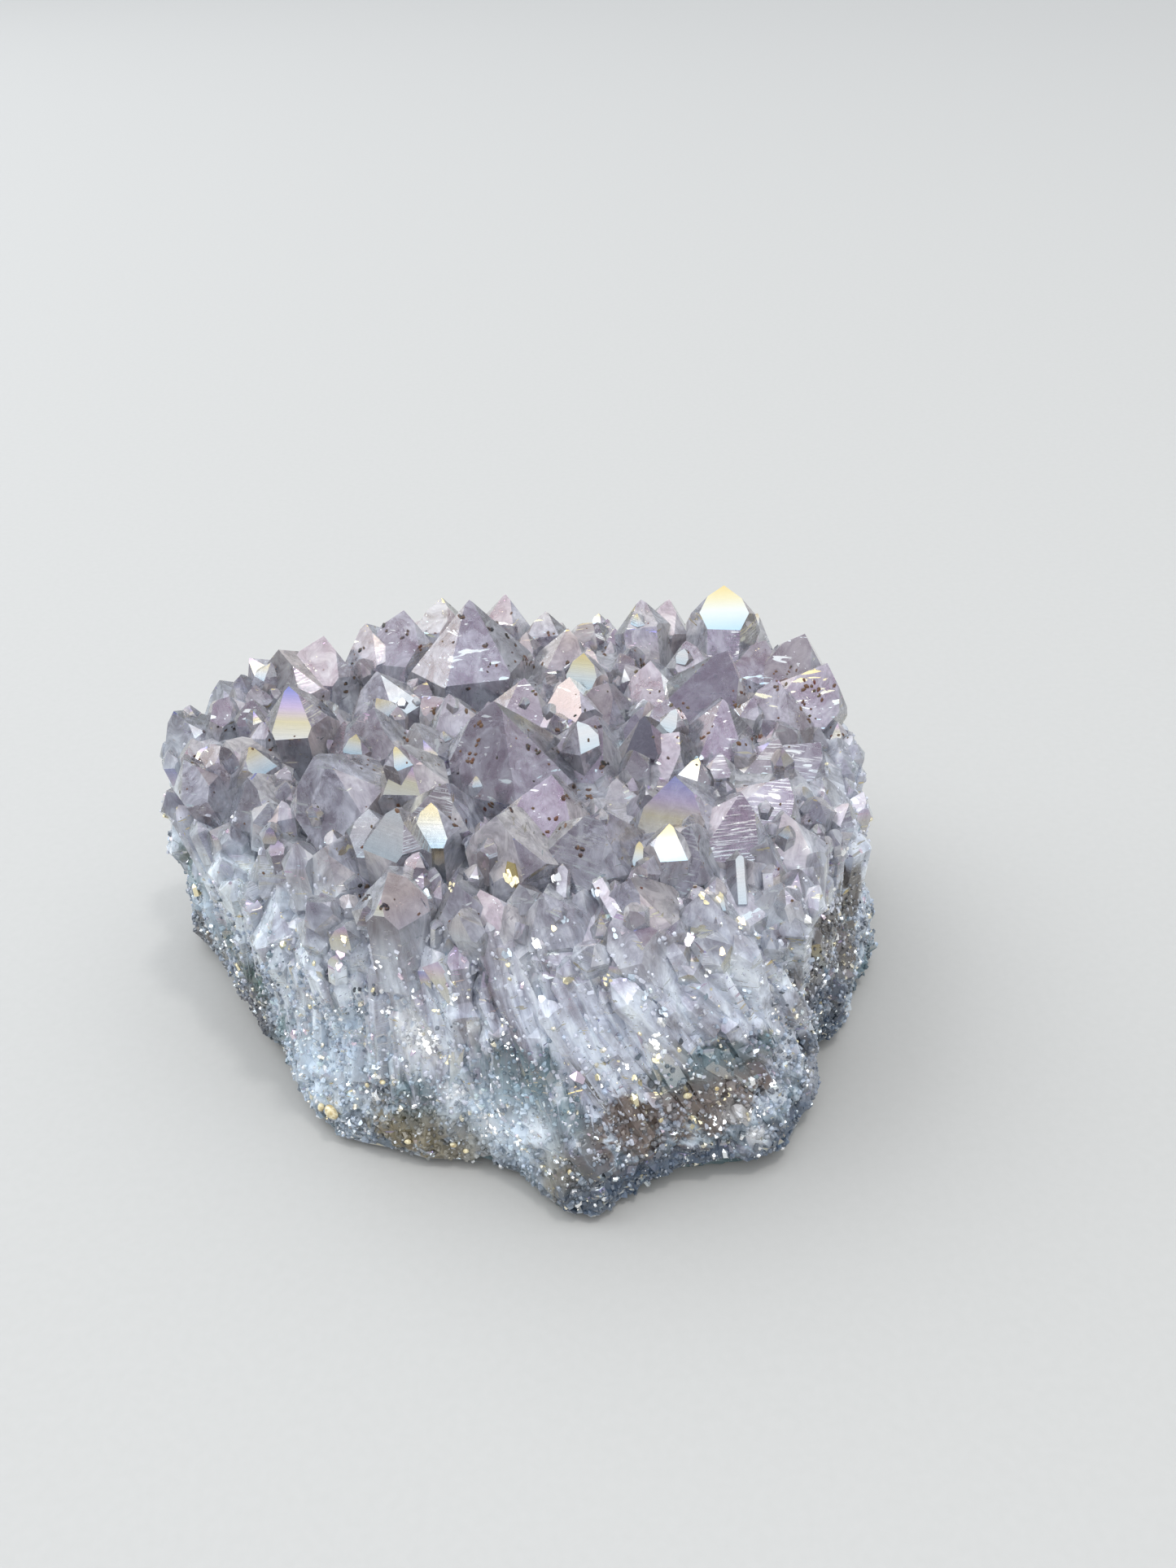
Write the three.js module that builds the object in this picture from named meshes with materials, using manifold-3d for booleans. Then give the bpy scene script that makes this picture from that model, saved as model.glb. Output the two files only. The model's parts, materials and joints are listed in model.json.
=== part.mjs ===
// Angel aura quartz cluster: a fused crust of quartz points on a thin rind of host rock.
// Millimetres, +Z up. The origin is under the middle of the cluster's box, on the surface it rests on.
import * as THREE from "three";
import { ConvexGeometry } from "three/addons/geometries/ConvexGeometry.js";
import { mergeVertices } from "three/addons/utils/BufferGeometryUtils.js";
import Module from "manifold-3d";

const wasm = await Module();
wasm.setup();

// ---- Driving dimensions: millimetres, and degrees where the name says so ----

// Outer edge of the crust seen from above, anticlockwise from the left end.
const footprint = [
  [-44, 11], [-39, 3], [-35, -5], [-29, -14], [-25, -22], [-19, -28.5], [-10, -31.5], [-3, -33],
  [1, -36.5], [3, -39.5], [8, -40], [12, -37.5], [20, -34.5], [25, -34.5], [31, -30], [34, -24],
  [33, -18.5], [38, -14], [42, -5], [44, 5], [44, 15], [42, 24], [36, 32], [25, 37], [11, 39],
  [-6, 38], [-20, 36], [-32, 31], [-41, 23],
];
const outlineSteps = 72; // places that the outline is cut into
const roundingReach = 3; // neighbours on each side that a rounded corner is averaged over
const wallHeight = 28; // top edge of the solid, milky part of the crust
// Levels of the wall as [height, how far it swells past the footprint there].
const wallSwell = [[0, -0.3], [3, 0.4], [8, 0.5], [14, -0.3], [22, -0.6], [wallHeight, -1.2]];
const ribDepth = 0.9; // the upright ribs' depth, against the pattern below
const shoulderHeight = 32; // the milky part's upper side, inside its top edge
const shoulderInset = 9;
const leftDrop = 0.22; // share of its height that the milky part loses towards the left end
const frontDrop = 0.04; // and towards the front
const frontLean = 7; // how far the front wall leans in over its height
const leftLean = -2; // the left wall hangs out a little
const otherLean = 2; // the right wall and the back lean in a little
const footFade = 16; // corners and toe of the footprint have faded from the wall at this height
const columnSlant = 0.011; // drift of the wall's columns around the outline, radians for each mm up
const edgeHeight = 1; // the crust's lower edge above the table
const edgeLift = [26, -31, 1.4, 160]; // it lifts around this X and Y, by this much, over this reach squared
const rindHeight = 3; // mean thickness of the host rock under the crust
// Levels of the rind as [height, how far it stands out there].
const rindSwell = [[0, -0.9], [1.4, 0.3], [2.6, -0.6]];
const rindInset = 1.5; // the rind stands this far inside the crust's edge
const seam = 0.3; // parting between crust and rind
const bedDepth = 5; // the crust is cut away for the rind down to this far under the table
const facetAngle = 38.2; // a quartz tip face to the crystal's long axis, degrees
const prismTaper = 2; // prism faces close in towards the root by this angle, degrees
// Growth was uneven: faces stand further in or out by these shares of the point's half width.
const prismSpread = [0.84, 1.14]; // all six prism faces, from the axis
const majorGrowth = [-0.05, 0.08]; // three tip faces that cut deep
const minorGrowth = [0.05, 0.35]; // the three between them
const pointReach = 12; // least length of a point from tip to root
const reachPerWidth = 2.2; // further length for each mm of half width

// Points that stand out, as [x, y, z of the tip, half width, twist, lean to +X, lean to +Y].
// At twist 0 a face looks straight to -Y, and at 30 an edge does.
const mainPoints = [
  // left end and left rim
  [-43, 15, 32.5, 4.5, 20, -25, 5], [-39, 24, 32, 4.5, 40, -20, 15], [-34, 22, 33.5, 4, 10, -5, 15],
  [-30, 23, 36.5, 5.5, 25, -15, 5], [-32, 11.5, 36, 2.2, 5, 0, 5], [-26.5, 9, 39, 4.2, 5, -5, 0],
  [-34, 5, 34.5, 5, 30, -20, -5], [-40, 10, 31, 4, 50, -30, -5], [-21.5, -6.5, 38.5, 6.5, 10, -20, -10],
  [-30, -3, 34, 5, 25, -10, -15], [-41, 4, 27.5, 4.6, 15, -25, -5], [-35.5, -4.5, 28, 4.6, 40, -25, -15],
  // back left and the great point
  [-25, 26, 36.5, 4.5, 15, 5, 20], [-19.5, 28, 37.5, 4.5, 30, -10, 10], [-14.5, 29, 38.5, 4.5, 10, 5, 15],
  [-10, 33, 38, 4, 35, -5, 25], [-5, 22, 43, 7.5, -10, 0, 5], [-1, 33, 38, 3.5, 20, 5, 20],
  [4, 31, 36.5, 3.2, 5, -5, 25], [7, 26, 36.5, 4.5, 0, 10, 10], [9.5, 19.5, 37, 3, 5, 5, 25],
  // middle
  [-17, 15, 37, 5, 20, -15, 5], [-16, 4, 38.5, 4, 30, 5, -5], [-7.5, 8.5, 37.5, 4.5, 10, -10, 10],
  [-11, 2, 37.5, 4.5, 40, -15, 5], [-1.5, -2, 42, 7.5, 25, -5, 0], [1.5, 11.5, 37.5, 4, 0, 10, 0],
  [7, 11.5, 37.5, 4.2, 30, -5, 15], [11.5, 10.5, 37, 4.5, 35, 10, -5], [10, 1.5, 38, 5.5, 20, 10, 0],
  [15.5, 1.5, 37.5, 4, 25, -10, 5], [18.5, 6, 37, 3.2, 10, 5, 20], [17, 16, 36.5, 4.5, 30, -10, 10],
  // back right
  [16.5, 29, 38.5, 3.5, 5, -5, 30], [20.5, 30, 38, 3.5, 35, 10, 15], [27, 26.5, 41.5, 4.4, 5, 5, 30],
  [31.5, 26, 37.5, 3.6, 25, 20, 15], [22, 20, 37, 3.4, 0, -5, 25],
  // right
  [26, 12, 39.5, 6.5, 30, 15, 5], [32, 20, 37, 4.5, 15, 20, 10], [36.5, 19, 38, 4.8, 30, 10, 5],
  [38.5, 13, 37, 5.5, 10, 20, -5], [32, 9, 37.5, 4.5, 25, 0, 10], [25, 3.5, 38, 5.5, 0, 5, -5],
  [19.5, -1, 36.5, 4, 50, 15, -5], [31, -1, 35.5, 5, 15, 15, -10], [36, 1, 33.5, 5, 40, 25, 0],
  // front rim
  [-11.5, -6.5, 40, 4.2, 20, -10, 0], [-15, -14, 36.5, 3, 5, 0, 0], [-8, -14.5, 37.5, 3, 5, 0, 0],
  [-11.5, -16, 38, 3.6, 35, 0, 0], [-6.5, -12.5, 38.5, 4.6, 30, 10, -5], [-12, -22.5, 35, 4.2, 10, -10, -10],
  [-1, -18.5, 38.5, 5.2, 25, -10, -10], [5, -12.5, 39, 5.5, 10, 5, 0], [9.5, -19, 38.5, 5.5, 40, 5, -15],
  [18, -12.5, 38.5, 6, 15, -10, -5], [19.5, -19, 36.5, 5, 35, 10, -15], [25, -14.5, 37, 5, 5, 15, -5],
  [31, -9, 35, 4.5, 25, 20, -10], [27.5, -18, 33, 4.6, 15, 10, -20], [-20, -16, 33.5, 5, 35, -15, -20],
  [-27, -10, 31.5, 4.5, 0, -15, -10], [-5, -24, 34, 3.8, 20, -5, -5], [3.5, -25, 33, 4.4, 5, -10, -10],
  [12.5, -25, 34.5, 4.2, 35, -10, -5], [20.5, -24.5, 32, 4.6, 15, -5, -10], [28.5, -22, 30.5, 4, 25, 5, -10],
  [-19, -21.5, 30, 4.2, 10, -15, -10], [35, -8, 31, 4.6, 10, 15, -5],
];

const fillerSpacing = 7.7; // distance between the lesser points' places
const fillerStray = 1.2; // they stray from those places by up to this much
const fillerWidth = [2.4, 3.8]; // half widths, least and most
const fillerTip = [31.5, 35.5]; // heights of their tips
const fillerSplay = 0.35; // outward lean in degrees for each mm from the middle
const fillerInset = 1; // their places keep this far inside the wall's top edge
const columnCount = 26; // broken prisms standing in the wall
const columnWidth = [3.2, 4.8]; // half widths
const columnFoot = [6, 14]; // heights that they start at
const columnDrift = 1.5; // steps of the outline that they lean across, in the front wall
const columnHead = [28.5, 34.5]; // heights of their tips
const columnStand = [-0.6, 0.9]; // how far they stand out of the wall at the root and at the tip
const grainCount = 5; // coarse grains of the drusy band above the rind
const grainSize = [1.5, 2.8]; // their radii
const grainHeight = [3.2, 10]; // the band that they lie in

// ---- Small helpers ----

let seedState = 20251;
// Repeatable random number from low to high.
function vary([low, high]) {
  seedState = (seedState * 1664525 + 1013904223) % 4294967296;
  return low + (high - low) * (seedState / 4294967296);
}

// Closed three.js geometry to a manifold solid.
function solidOf(geometry) {
  const bare = geometry.clone();
  bare.deleteAttribute("normal");
  bare.deleteAttribute("uv");
  const merged = mergeVertices(bare, 1e-5);
  return new wasm.Manifold(new wasm.Mesh({
    numProp: 3,
    vertProperties: Float32Array.from(merged.attributes.position.array),
    triVerts: Uint32Array.from(merged.index.array),
  }));
}

// Manifold solid back to a three.js geometry.
function geometryOf(solid) {
  const mesh = solid.getMesh();
  const geometry = new THREE.BufferGeometry();
  geometry.setAttribute("position", new THREE.BufferAttribute(mesh.vertProperties, 3));
  geometry.setIndex(new THREE.BufferAttribute(mesh.triVerts, 1));
  return geometry;
}

// Unit vector that leans from +Z by the given degrees towards +X and +Y.
function leaning(leanX, leanY) {
  const slope = (degrees) => Math.tan(THREE.MathUtils.degToRad(degrees));
  return new THREE.Vector3(slope(leanX), slope(leanY), 1).normalize();
}

// ---- Quartz points ----

// The convex solid on the inner side of every plane.
function insidePlanes(planes) {
  const corners = [];
  const rows = new THREE.Matrix3();
  for (let i = 0; i < planes.length; i += 1) {
    for (let j = i + 1; j < planes.length; j += 1) {
      for (let k = j + 1; k < planes.length; k += 1) {
        const [a, b, c] = [planes[i], planes[j], planes[k]];
        rows.set(
          a.normal.x, a.normal.y, a.normal.z,
          b.normal.x, b.normal.y, b.normal.z,
          c.normal.x, c.normal.y, c.normal.z,
        );
        if (Math.abs(rows.determinant()) < 1e-4) continue;
        const corner = new THREE.Vector3(-a.constant, -b.constant, -c.constant);
        corner.applyMatrix3(rows.invert());
        if (planes.every((plane) => plane.distanceToPoint(corner) < 1e-6)) corners.push(corner);
      }
    }
  }
  return new ConvexGeometry(corners);
}

// One quartz point: six prism faces and six tip faces, grown unevenly as real ones are.
function quartzPoint(tip, halfWidth, twist, axis, reach) {
  const side = new THREE.Vector3(0, -1, 0).cross(axis).normalize();
  const front = new THREE.Vector3().crossVectors(side, axis).negate().normalize();
  const facet = THREE.MathUtils.degToRad(facetAngle);
  const taper = THREE.MathUtils.degToRad(prismTaper);
  const planes = [];
  const addPlane = (outward, tilt, foot) => {
    const normal = outward.clone().multiplyScalar(Math.cos(tilt)).addScaledVector(axis, Math.sin(tilt));
    planes.push(new THREE.Plane().setFromNormalAndCoplanarPoint(normal, foot));
  };
  for (let face = 0; face < 6; face += 1) {
    const turn = THREE.MathUtils.degToRad(twist + 60 * face);
    const outward = front.clone().multiplyScalar(Math.cos(turn)).addScaledVector(side, Math.sin(turn));
    addPlane(outward, -taper, tip.clone().addScaledVector(outward, halfWidth * vary(prismSpread)));
    const growth = halfWidth * vary(face % 2 === 0 ? majorGrowth : minorGrowth);
    addPlane(outward, facet, tip.clone().addScaledVector(outward, growth));
  }
  addPlane(axis.clone().negate(), 0, tip.clone().addScaledVector(axis, -reach));
  return solidOf(insidePlanes(planes));
}

function standingPoints() {
  return mainPoints.map(([x, y, z, halfWidth, twist, leanX, leanY]) => {
    const reach = pointReach + reachPerWidth * halfWidth;
    return quartzPoint(new THREE.Vector3(x, y, z), halfWidth, twist, leaning(leanX, leanY), reach);
  });
}

// Whether one of the greater points already fills a place.
function isCrowded(x, y) {
  return mainPoints.some(([px, py, , halfWidth]) => Math.hypot(px - x, py - y) < 0.8 * halfWidth + 1.2);
}

// Lesser points on a jittered grid, wherever no greater one stands.
function fillerPoints() {
  const points = [];
  for (let row = -6; row <= 6; row += 1) {
    for (let column = -7; column <= 7; column += 1) {
      const x = (column + 0.5 * (row % 2)) * fillerSpacing + vary([-fillerStray, fillerStray]);
      const y = row * fillerSpacing + vary([-fillerStray, fillerStray]);
      const halfWidth = vary(fillerWidth);
      const tip = new THREE.Vector3(x, y, vary(fillerTip));
      const twist = vary([0, 60]);
      if (isCrowded(x, y) || insideBy(x, y) < fillerInset) continue;
      const axis = leaning(x * fillerSplay + vary([-6, 6]), y * fillerSplay + vary([-6, 6]));
      points.push(quartzPoint(tip, halfWidth, twist, axis, pointReach));
    }
  }
  return points;
}

// ---- Outline and walls ----

const outline = new THREE.CatmullRomCurve3(
  footprint.map(([x, y]) => new THREE.Vector3(x, y, 0)), true, "centripetal",
);
const rim = outline.getSpacedPoints(outlineSteps).slice(0, outlineSteps);

// The same outline with its corners taken off, by averaging over its neighbours.
const roundedRim = rim.map((_, step) => {
  const sum = new THREE.Vector3();
  for (let offset = -roundingReach; offset <= roundingReach; offset += 1) sum.add(rimAt(step + offset));
  return sum.divideScalar(2 * roundingReach + 1);
});

function rimAt(step) {
  return rim[((Math.round(step) % outlineSteps) + outlineSteps) % outlineSteps];
}

// The outline that the wall has at a height: the footprint below, its rounded form above.
function rimOver(step, height) {
  const rounded = roundedRim[rim.indexOf(rimAt(step))];
  return rimAt(step).clone().lerp(rounded, THREE.MathUtils.smoothstep(height, 0, footFade));
}

// How far a place lies inside the wall's top edge, measured from the middle; negative outside.
function insideBy(x, y) {
  const place = new THREE.Vector2(x, y);
  const edges = rim.map((_, step) => wallPoint(step, wallHeight, 0));
  const turnFrom = (edge) => Math.abs(place.cross(edge)) / edge.length() + (place.dot(edge) < 0 ? 100 : 0);
  const nearest = edges.reduce((best, edge) => (turnFrom(edge) < turnFrom(best) ? edge : best));
  return Math.hypot(nearest.x, nearest.y) - place.length();
}

// Fine upright ribs of the wall, drifting sideways with height.
function ribs(bearing, height) {
  const turn = bearing + columnSlant * height;
  const broad = 0.25 * Math.sin(turn * 5 + height * 0.3);
  return broad + 0.5 * Math.sin(turn * 13 + 0.6) + 0.4 * Math.sin(turn * 23 + 2.1);
}

// A point of the wall over a step of the outline, pushed out by a bulge.
function wallPoint(step, height, bulge) {
  const foot = rimOver(step, height);
  const reach = foot.length();
  const frontShare = Math.max(0, -foot.y / reach) ** 2;
  const leftShare = Math.max(0, -foot.x / reach) ** 2;
  const lean = otherLean + (frontLean - otherLean) * frontShare + (leftLean - otherLean) * leftShare;
  const scale = 1 + (bulge - lean * height / wallHeight) / reach;
  const drop = 1 - (leftDrop * leftShare + frontDrop * frontShare) * (height / wallHeight);
  return new THREE.Vector3(foot.x * scale, foot.y * scale, height * drop);
}

// Closed solid through rings of points, from the bottom ring to the top one.
function loftedSolid(rings, bottomCentre, topCentre) {
  const count = rings[0].length;
  const vertices = [...rings.flat(), bottomCentre, topCentre];
  const [bottomIndex, topIndex] = [vertices.length - 2, vertices.length - 1];
  const topRing = (rings.length - 1) * count;
  const indices = [];
  for (let step = 0; step < count; step += 1) {
    const next = (step + 1) % count;
    for (let level = 0; level < topRing; level += count) {
      const [a, b] = [level + step, level + next];
      indices.push(a, b, b + count, a, b + count, a + count);
    }
    indices.push(bottomIndex, next, step, topIndex, topRing + step, topRing + next);
  }
  const geometry = new THREE.BufferGeometry().setFromPoints(vertices);
  geometry.setIndex(indices);
  return solidOf(geometry);
}

// Lower edge of the crust: it lifts off the table at the front right, where the rind shows.
function crustEdge(foot) {
  const [liftX, liftY, lift, reachSquared] = edgeLift;
  const away = (foot.x - liftX) ** 2 + (foot.y - liftY) ** 2;
  return edgeHeight + lift * Math.exp(-away / reachSquared) + 0.3 * Math.sin(foot.x * 0.4);
}

// The milky mass that the points grow out of.
function crustMass() {
  const rings = wallSwell.map(([height, swell], level) => rim.map((foot, step) => {
    const raised = level === 0 ? crustEdge(foot) : height;
    return wallPoint(step, raised, swell + ribDepth * ribs(Math.atan2(foot.y, foot.x), height));
  }));
  rings.push(rim.map((_, step) => wallPoint(step, shoulderHeight, -shoulderInset)));
  const [bottomCentre, topCentre] = [edgeHeight, shoulderHeight].map((z) => new THREE.Vector3(0, 0, z));
  return loftedSolid(rings, bottomCentre, topCentre);
}

// Prisms that stand in the wall with their broken sides showing.
function wallColumns() {
  const columns = [];
  for (let index = 0; index < columnCount; index += 1) {
    const step = (index * outlineSteps) / columnCount + vary([-0.5, 0.5]);
    const halfWidth = vary(columnWidth);
    const drift = columnDrift * Math.max(0, -rimAt(step).y / 30);
    const [rootStand, tipStand] = columnStand;
    const tip = wallPoint(step - drift, vary(columnHead), tipStand - halfWidth);
    const root = wallPoint(step + drift, vary(columnFoot), rootStand - halfWidth);
    const axis = tip.clone().sub(root).normalize();
    columns.push(quartzPoint(tip, halfWidth, vary([0, 60]), axis, tip.distanceTo(root)));
  }
  return columns;
}

// Coarse grains of the drusy band, each a small skewed lump.
function drusyGrains() {
  const grains = [];
  for (let index = 0; index < grainCount; index += 1) {
    const size = vary(grainSize);
    const grain = new THREE.IcosahedronGeometry(size, 0);
    grain.scale(1, 1, vary([0.6, 1]));
    grain.rotateX(vary([0, 3]));
    grain.rotateZ(vary([0, 6]));
    const place = wallPoint(vary([0, outlineSteps]), vary(grainHeight), 0.7 - 0.6 * size);
    grain.translate(place.x, place.y, place.z);
    grains.push(solidOf(grain));
  }
  return grains;
}

// ---- Host rock ----

// The rind's solid, grown sideways and upwards by an allowance and downwards by a depth.
function rindSolid(allowance, depth) {
  const coarseRim = rim.filter((_, step) => step % 2 === 0);
  const growth = [-depth, 0, allowance];
  const rings = rindSwell.map(([height, swell], level) => coarseRim.map((_, index) => {
    const rough = 0.35 * Math.sin(index * 3.8 + level * 2) + 0.25 * Math.sin(index * 1.4 - level);
    const place = wallPoint(2 * index, 0, swell + rough - rindInset + allowance);
    return new THREE.Vector3(place.x, place.y, height + growth[level]);
  }));
  const [bottomCentre, topCentre] = [-depth, rindHeight + allowance].map((z) => new THREE.Vector3(0, 0, z));
  return loftedSolid(rings, bottomCentre, topCentre);
}

// ---- Assembly ----

function quartzSolid() {
  const grown = [crustMass(), ...standingPoints(), ...fillerPoints(), ...wallColumns(), ...drusyGrains()];
  const bodies = wasm.Manifold.union(grown).subtract(rindSolid(seam, bedDepth)).decompose();
  // Pockets sealed in between the points are left filled.
  return bodies.reduce((largest, body) => (body.volume() > largest.volume() ? body : largest));
}

function namedMesh(name, solid, colour, roughness, metalness) {
  const material = new THREE.MeshStandardMaterial({ color: colour, roughness, metalness });
  const mesh = new THREE.Mesh(geometryOf(solid), material);
  mesh.name = name;
  return mesh;
}

const quartz = quartzSolid();
const { min, max } = quartz.boundingBox();
const toMiddle = [-(min[0] + max[0]) / 2, -(min[1] + max[1]) / 2, 0];

const group = new THREE.Group();
group.add(namedMesh("quartz_cluster", quartz.translate(toMiddle), 0xb8b2c2, 0.15, 0));
group.add(namedMesh("matrix_rind", rindSolid(0, 0).translate(toMiddle), 0x3d4f52, 0.8, 0));

export default group;
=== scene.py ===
import itertools
import json
import math
import random

import bmesh
import bpy
import numpy as np
from mathutils import Matrix, Vector, noise
from mathutils.bvhtree import BVHTree
from mathutils.geometry import intersect_point_line

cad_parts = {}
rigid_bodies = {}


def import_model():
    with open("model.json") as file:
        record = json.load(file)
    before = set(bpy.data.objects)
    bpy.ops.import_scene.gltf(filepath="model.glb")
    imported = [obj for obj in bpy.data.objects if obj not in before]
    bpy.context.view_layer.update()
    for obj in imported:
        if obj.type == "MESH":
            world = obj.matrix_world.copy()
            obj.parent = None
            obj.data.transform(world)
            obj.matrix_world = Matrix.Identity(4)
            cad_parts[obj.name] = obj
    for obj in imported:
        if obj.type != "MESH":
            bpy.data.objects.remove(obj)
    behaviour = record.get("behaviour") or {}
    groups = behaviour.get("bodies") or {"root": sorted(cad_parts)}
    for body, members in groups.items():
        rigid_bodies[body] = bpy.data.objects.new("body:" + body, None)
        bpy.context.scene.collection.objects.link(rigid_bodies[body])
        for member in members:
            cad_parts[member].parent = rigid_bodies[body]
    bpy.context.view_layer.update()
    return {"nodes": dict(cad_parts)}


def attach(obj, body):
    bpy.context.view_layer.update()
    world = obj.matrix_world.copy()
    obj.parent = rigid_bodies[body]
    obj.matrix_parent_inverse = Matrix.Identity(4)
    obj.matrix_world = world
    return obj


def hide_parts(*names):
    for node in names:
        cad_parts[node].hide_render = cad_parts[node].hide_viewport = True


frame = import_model()
mm = 0.001
print("frame loaded:", sorted(frame["nodes"]))


class Wire:
    # one output of a node: values add, multiply and compare into Math nodes
    def __init__(self, sheet, socket):
        self.sheet = sheet
        self.socket = socket

    def math(self, operation, first, second=0.0, clamp=False):
        settings = {"operation": operation, "use_clamp": clamp}
        return self.sheet.node("Math", settings, {0: first, 1: second})

    def __add__(self, other):
        return self.math("ADD", self, other)

    def __sub__(self, other):
        return self.math("SUBTRACT", self, other)

    def __rsub__(self, other):
        return self.math("SUBTRACT", other, self)

    def __mul__(self, other):
        return self.math("MULTIPLY", self, other)

    def __gt__(self, other):
        return self.math("GREATER_THAN", self, other)

    def clamped(self):
        return self.math("ADD", self, 0.0, clamp=True)

    __radd__ = __add__
    __rmul__ = __mul__


class Sheet:
    # the node sheet of one material, or of the world
    def __init__(self, owner):
        self.owner = owner
        owner.use_nodes = True
        self.tree = owner.node_tree
        self.tree.nodes.clear()
        self.position = self.node("TexCoord", {}, {}, "Object")

    def node(self, kind, settings, sockets, output=0):
        made = self.tree.nodes.new("ShaderNode" + kind)
        for key, value in settings.items():
            if key == "stops":
                self.setStops(made.color_ramp, value)
            else:
                setattr(made, key, value)
        for key, value in sockets.items():
            if isinstance(value, Wire):
                self.tree.links.new(value.socket, made.inputs[key])
            else:
                made.inputs[key].default_value = value
        return Wire(self, made.outputs[output]) if made.outputs else None

    def setStops(self, ramp, stops):
        while len(ramp.elements) < len(stops):
            ramp.elements.new(0.5)
        for element, (place, colour) in zip(ramp.elements, stops):
            element.position = place
            element.color = (*colour, 1)

    def noise(self, scale, detail=3.0, roughness=0.55, distortion=0.0, at=None):
        sockets = {"Vector": at or self.position, "Scale": scale, "Detail": detail,
                   "Roughness": roughness, "Distortion": distortion}
        return self.node("TexNoise", {}, sockets)

    def stretched(self, scale, rotation=(0, 0, 0)):
        # the object's coordinates, scaled differently along each axis
        return self.node("Mapping", {}, {"Vector": self.position, "Scale": scale, "Rotation": rotation})

    def along(self, axis):
        return self.node("SeparateXYZ", {}, {"Vector": self.position}, axis)

    def attribute(self, name, output="Fac"):
        return self.node("Attribute", {"attribute_name": name}, {}, output)

    def ramp(self, value, stops):
        return self.node("ValToRGB", {"stops": stops}, {"Fac": value})

    def blend(self, share, first, second, mode="MIX"):
        # colours by their share; the Mix node keeps its colour sockets at 6 and 7
        settings = {"data_type": "RGBA", "blend_type": mode}
        return self.node("Mix", settings, {0: share, 6: first, 7: second}, 2)

    def range(self, value, low, high, toLow=0.0, toHigh=1.0):
        sockets = {"Value": value, "From Min": low, "From Max": high, "To Min": toLow, "To Max": toHigh}
        return self.node("MapRange", {"interpolation_type": "SMOOTHSTEP"}, sockets)

    def bump(self, height, distance, strength=1.0):
        return self.node("Bump", {}, {"Height": height, "Distance": distance, "Strength": strength})

    def sparkle(self, scale, tilt):
        # the normal, tilted another way in every small cell
        cells = self.node("TexVoronoi", {}, {"Vector": self.position, "Scale": scale}, "Color")
        turned = self.vector("SUBTRACT", cells, (0.5, 0.5, 0.5))
        turned = self.node("VectorMath", {"operation": "SCALE"}, {0: turned, "Scale": tilt})
        facing = self.node("NewGeometry", {}, {}, "Normal")
        return self.vector("NORMALIZE", self.vector("ADD", facing, turned))

    def vector(self, operation, first, second=(0, 0, 0)):
        return self.node("VectorMath", {"operation": operation}, {0: first, 1: second})

    def larger(self, first, second):
        return self.node("Math", {"operation": "MAXIMUM"}, {0: first, 1: second})

    def surface(self, **sockets):
        named = {name.replace("_", " "): value for name, value in sockets.items()}
        return self.node("BsdfPrincipled", {}, named)

    def mixed(self, share, first, second):
        return self.node("MixShader", {}, {0: share, 1: first, 2: second})

    def finish(self, shader, volume=None):
        sockets = {"Surface": shader}
        if volume:
            sockets["Volume"] = volume
        self.node("OutputMaterial", {"target": "ALL"}, sockets)
        return self.owner


def newSheet(name):
    return Sheet(bpy.data.materials.new(name))


def rgb(red, green, blue):
    return (red, green, blue, 1)


# the view that the whole scene is laid out for: places in millimetres, angles in degrees
cameraView = {
    "place": (9.1, -143.4, 125.9),
    "pitchDown": 33.9,
    "roll": 2.25,
    "imageWidth": 1445,
    "imageHeight": 1927,
    "focalPixels": 1800,
}


def cameraAxes():
    pitch = math.radians(cameraView["pitchDown"])
    roll = math.radians(cameraView["roll"])
    ahead = Vector((0, math.cos(pitch), -math.sin(pitch)))
    upright = Vector((0, math.sin(pitch), math.cos(pitch)))
    level = Vector((1, 0, 0))
    right = math.cos(roll) * level - math.sin(roll) * upright
    up = math.sin(roll) * level + math.cos(roll) * upright
    return right, up, ahead


def addCamera():
    right, up, ahead = cameraAxes()
    data = bpy.data.cameras.new("camera")
    data.sensor_width = 36
    data.lens = cameraView["focalPixels"] * data.sensor_width / cameraView["imageHeight"]
    data.clip_start = 0.01
    camera = bpy.data.objects.new("camera", data)
    turned = Matrix((right, up, -ahead)).transposed().to_4x4()
    camera.matrix_world = Matrix.Translation(Vector(cameraView["place"]) * mm) @ turned
    bpy.context.scene.collection.objects.link(camera)
    bpy.context.scene.camera = camera


def seenAt(tree, across, down):
    # what the camera sees at a place of the image, counted from its top left: place, normal, face
    right, up, ahead = cameraAxes()
    aside = (across - cameraView["imageWidth"] / 2) / cameraView["focalPixels"]
    below = (down - cameraView["imageHeight"] / 2) / cameraView["focalPixels"]
    ray = (ahead + aside * right - below * up).normalized()
    return tree.ray_cast(Vector(cameraView["place"]) * mm, ray)[:3]


addCamera()


def linked(name, mesh):
    piece = bpy.data.objects.new(name, mesh)
    bpy.context.scene.collection.objects.link(piece)
    return piece


def treeOf(mesh):
    corners = [vertex.co.copy() for vertex in mesh.vertices]
    return BVHTree.FromPolygons(corners, [list(face.vertices) for face in mesh.polygons])


def joinedMesh(name, parts):
    # one mesh of many (corners, faces) parts
    corners = np.concatenate([part[0] for part in parts])
    faces = []
    start = 0
    for partCorners, partFaces in parts:
        faces += [[start + corner for corner in face] for face in partFaces]
        start += len(partCorners)
    mesh = bpy.data.meshes.new(name)
    mesh.from_pydata(corners.tolist(), [], faces)
    mesh.update()
    return mesh


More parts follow.
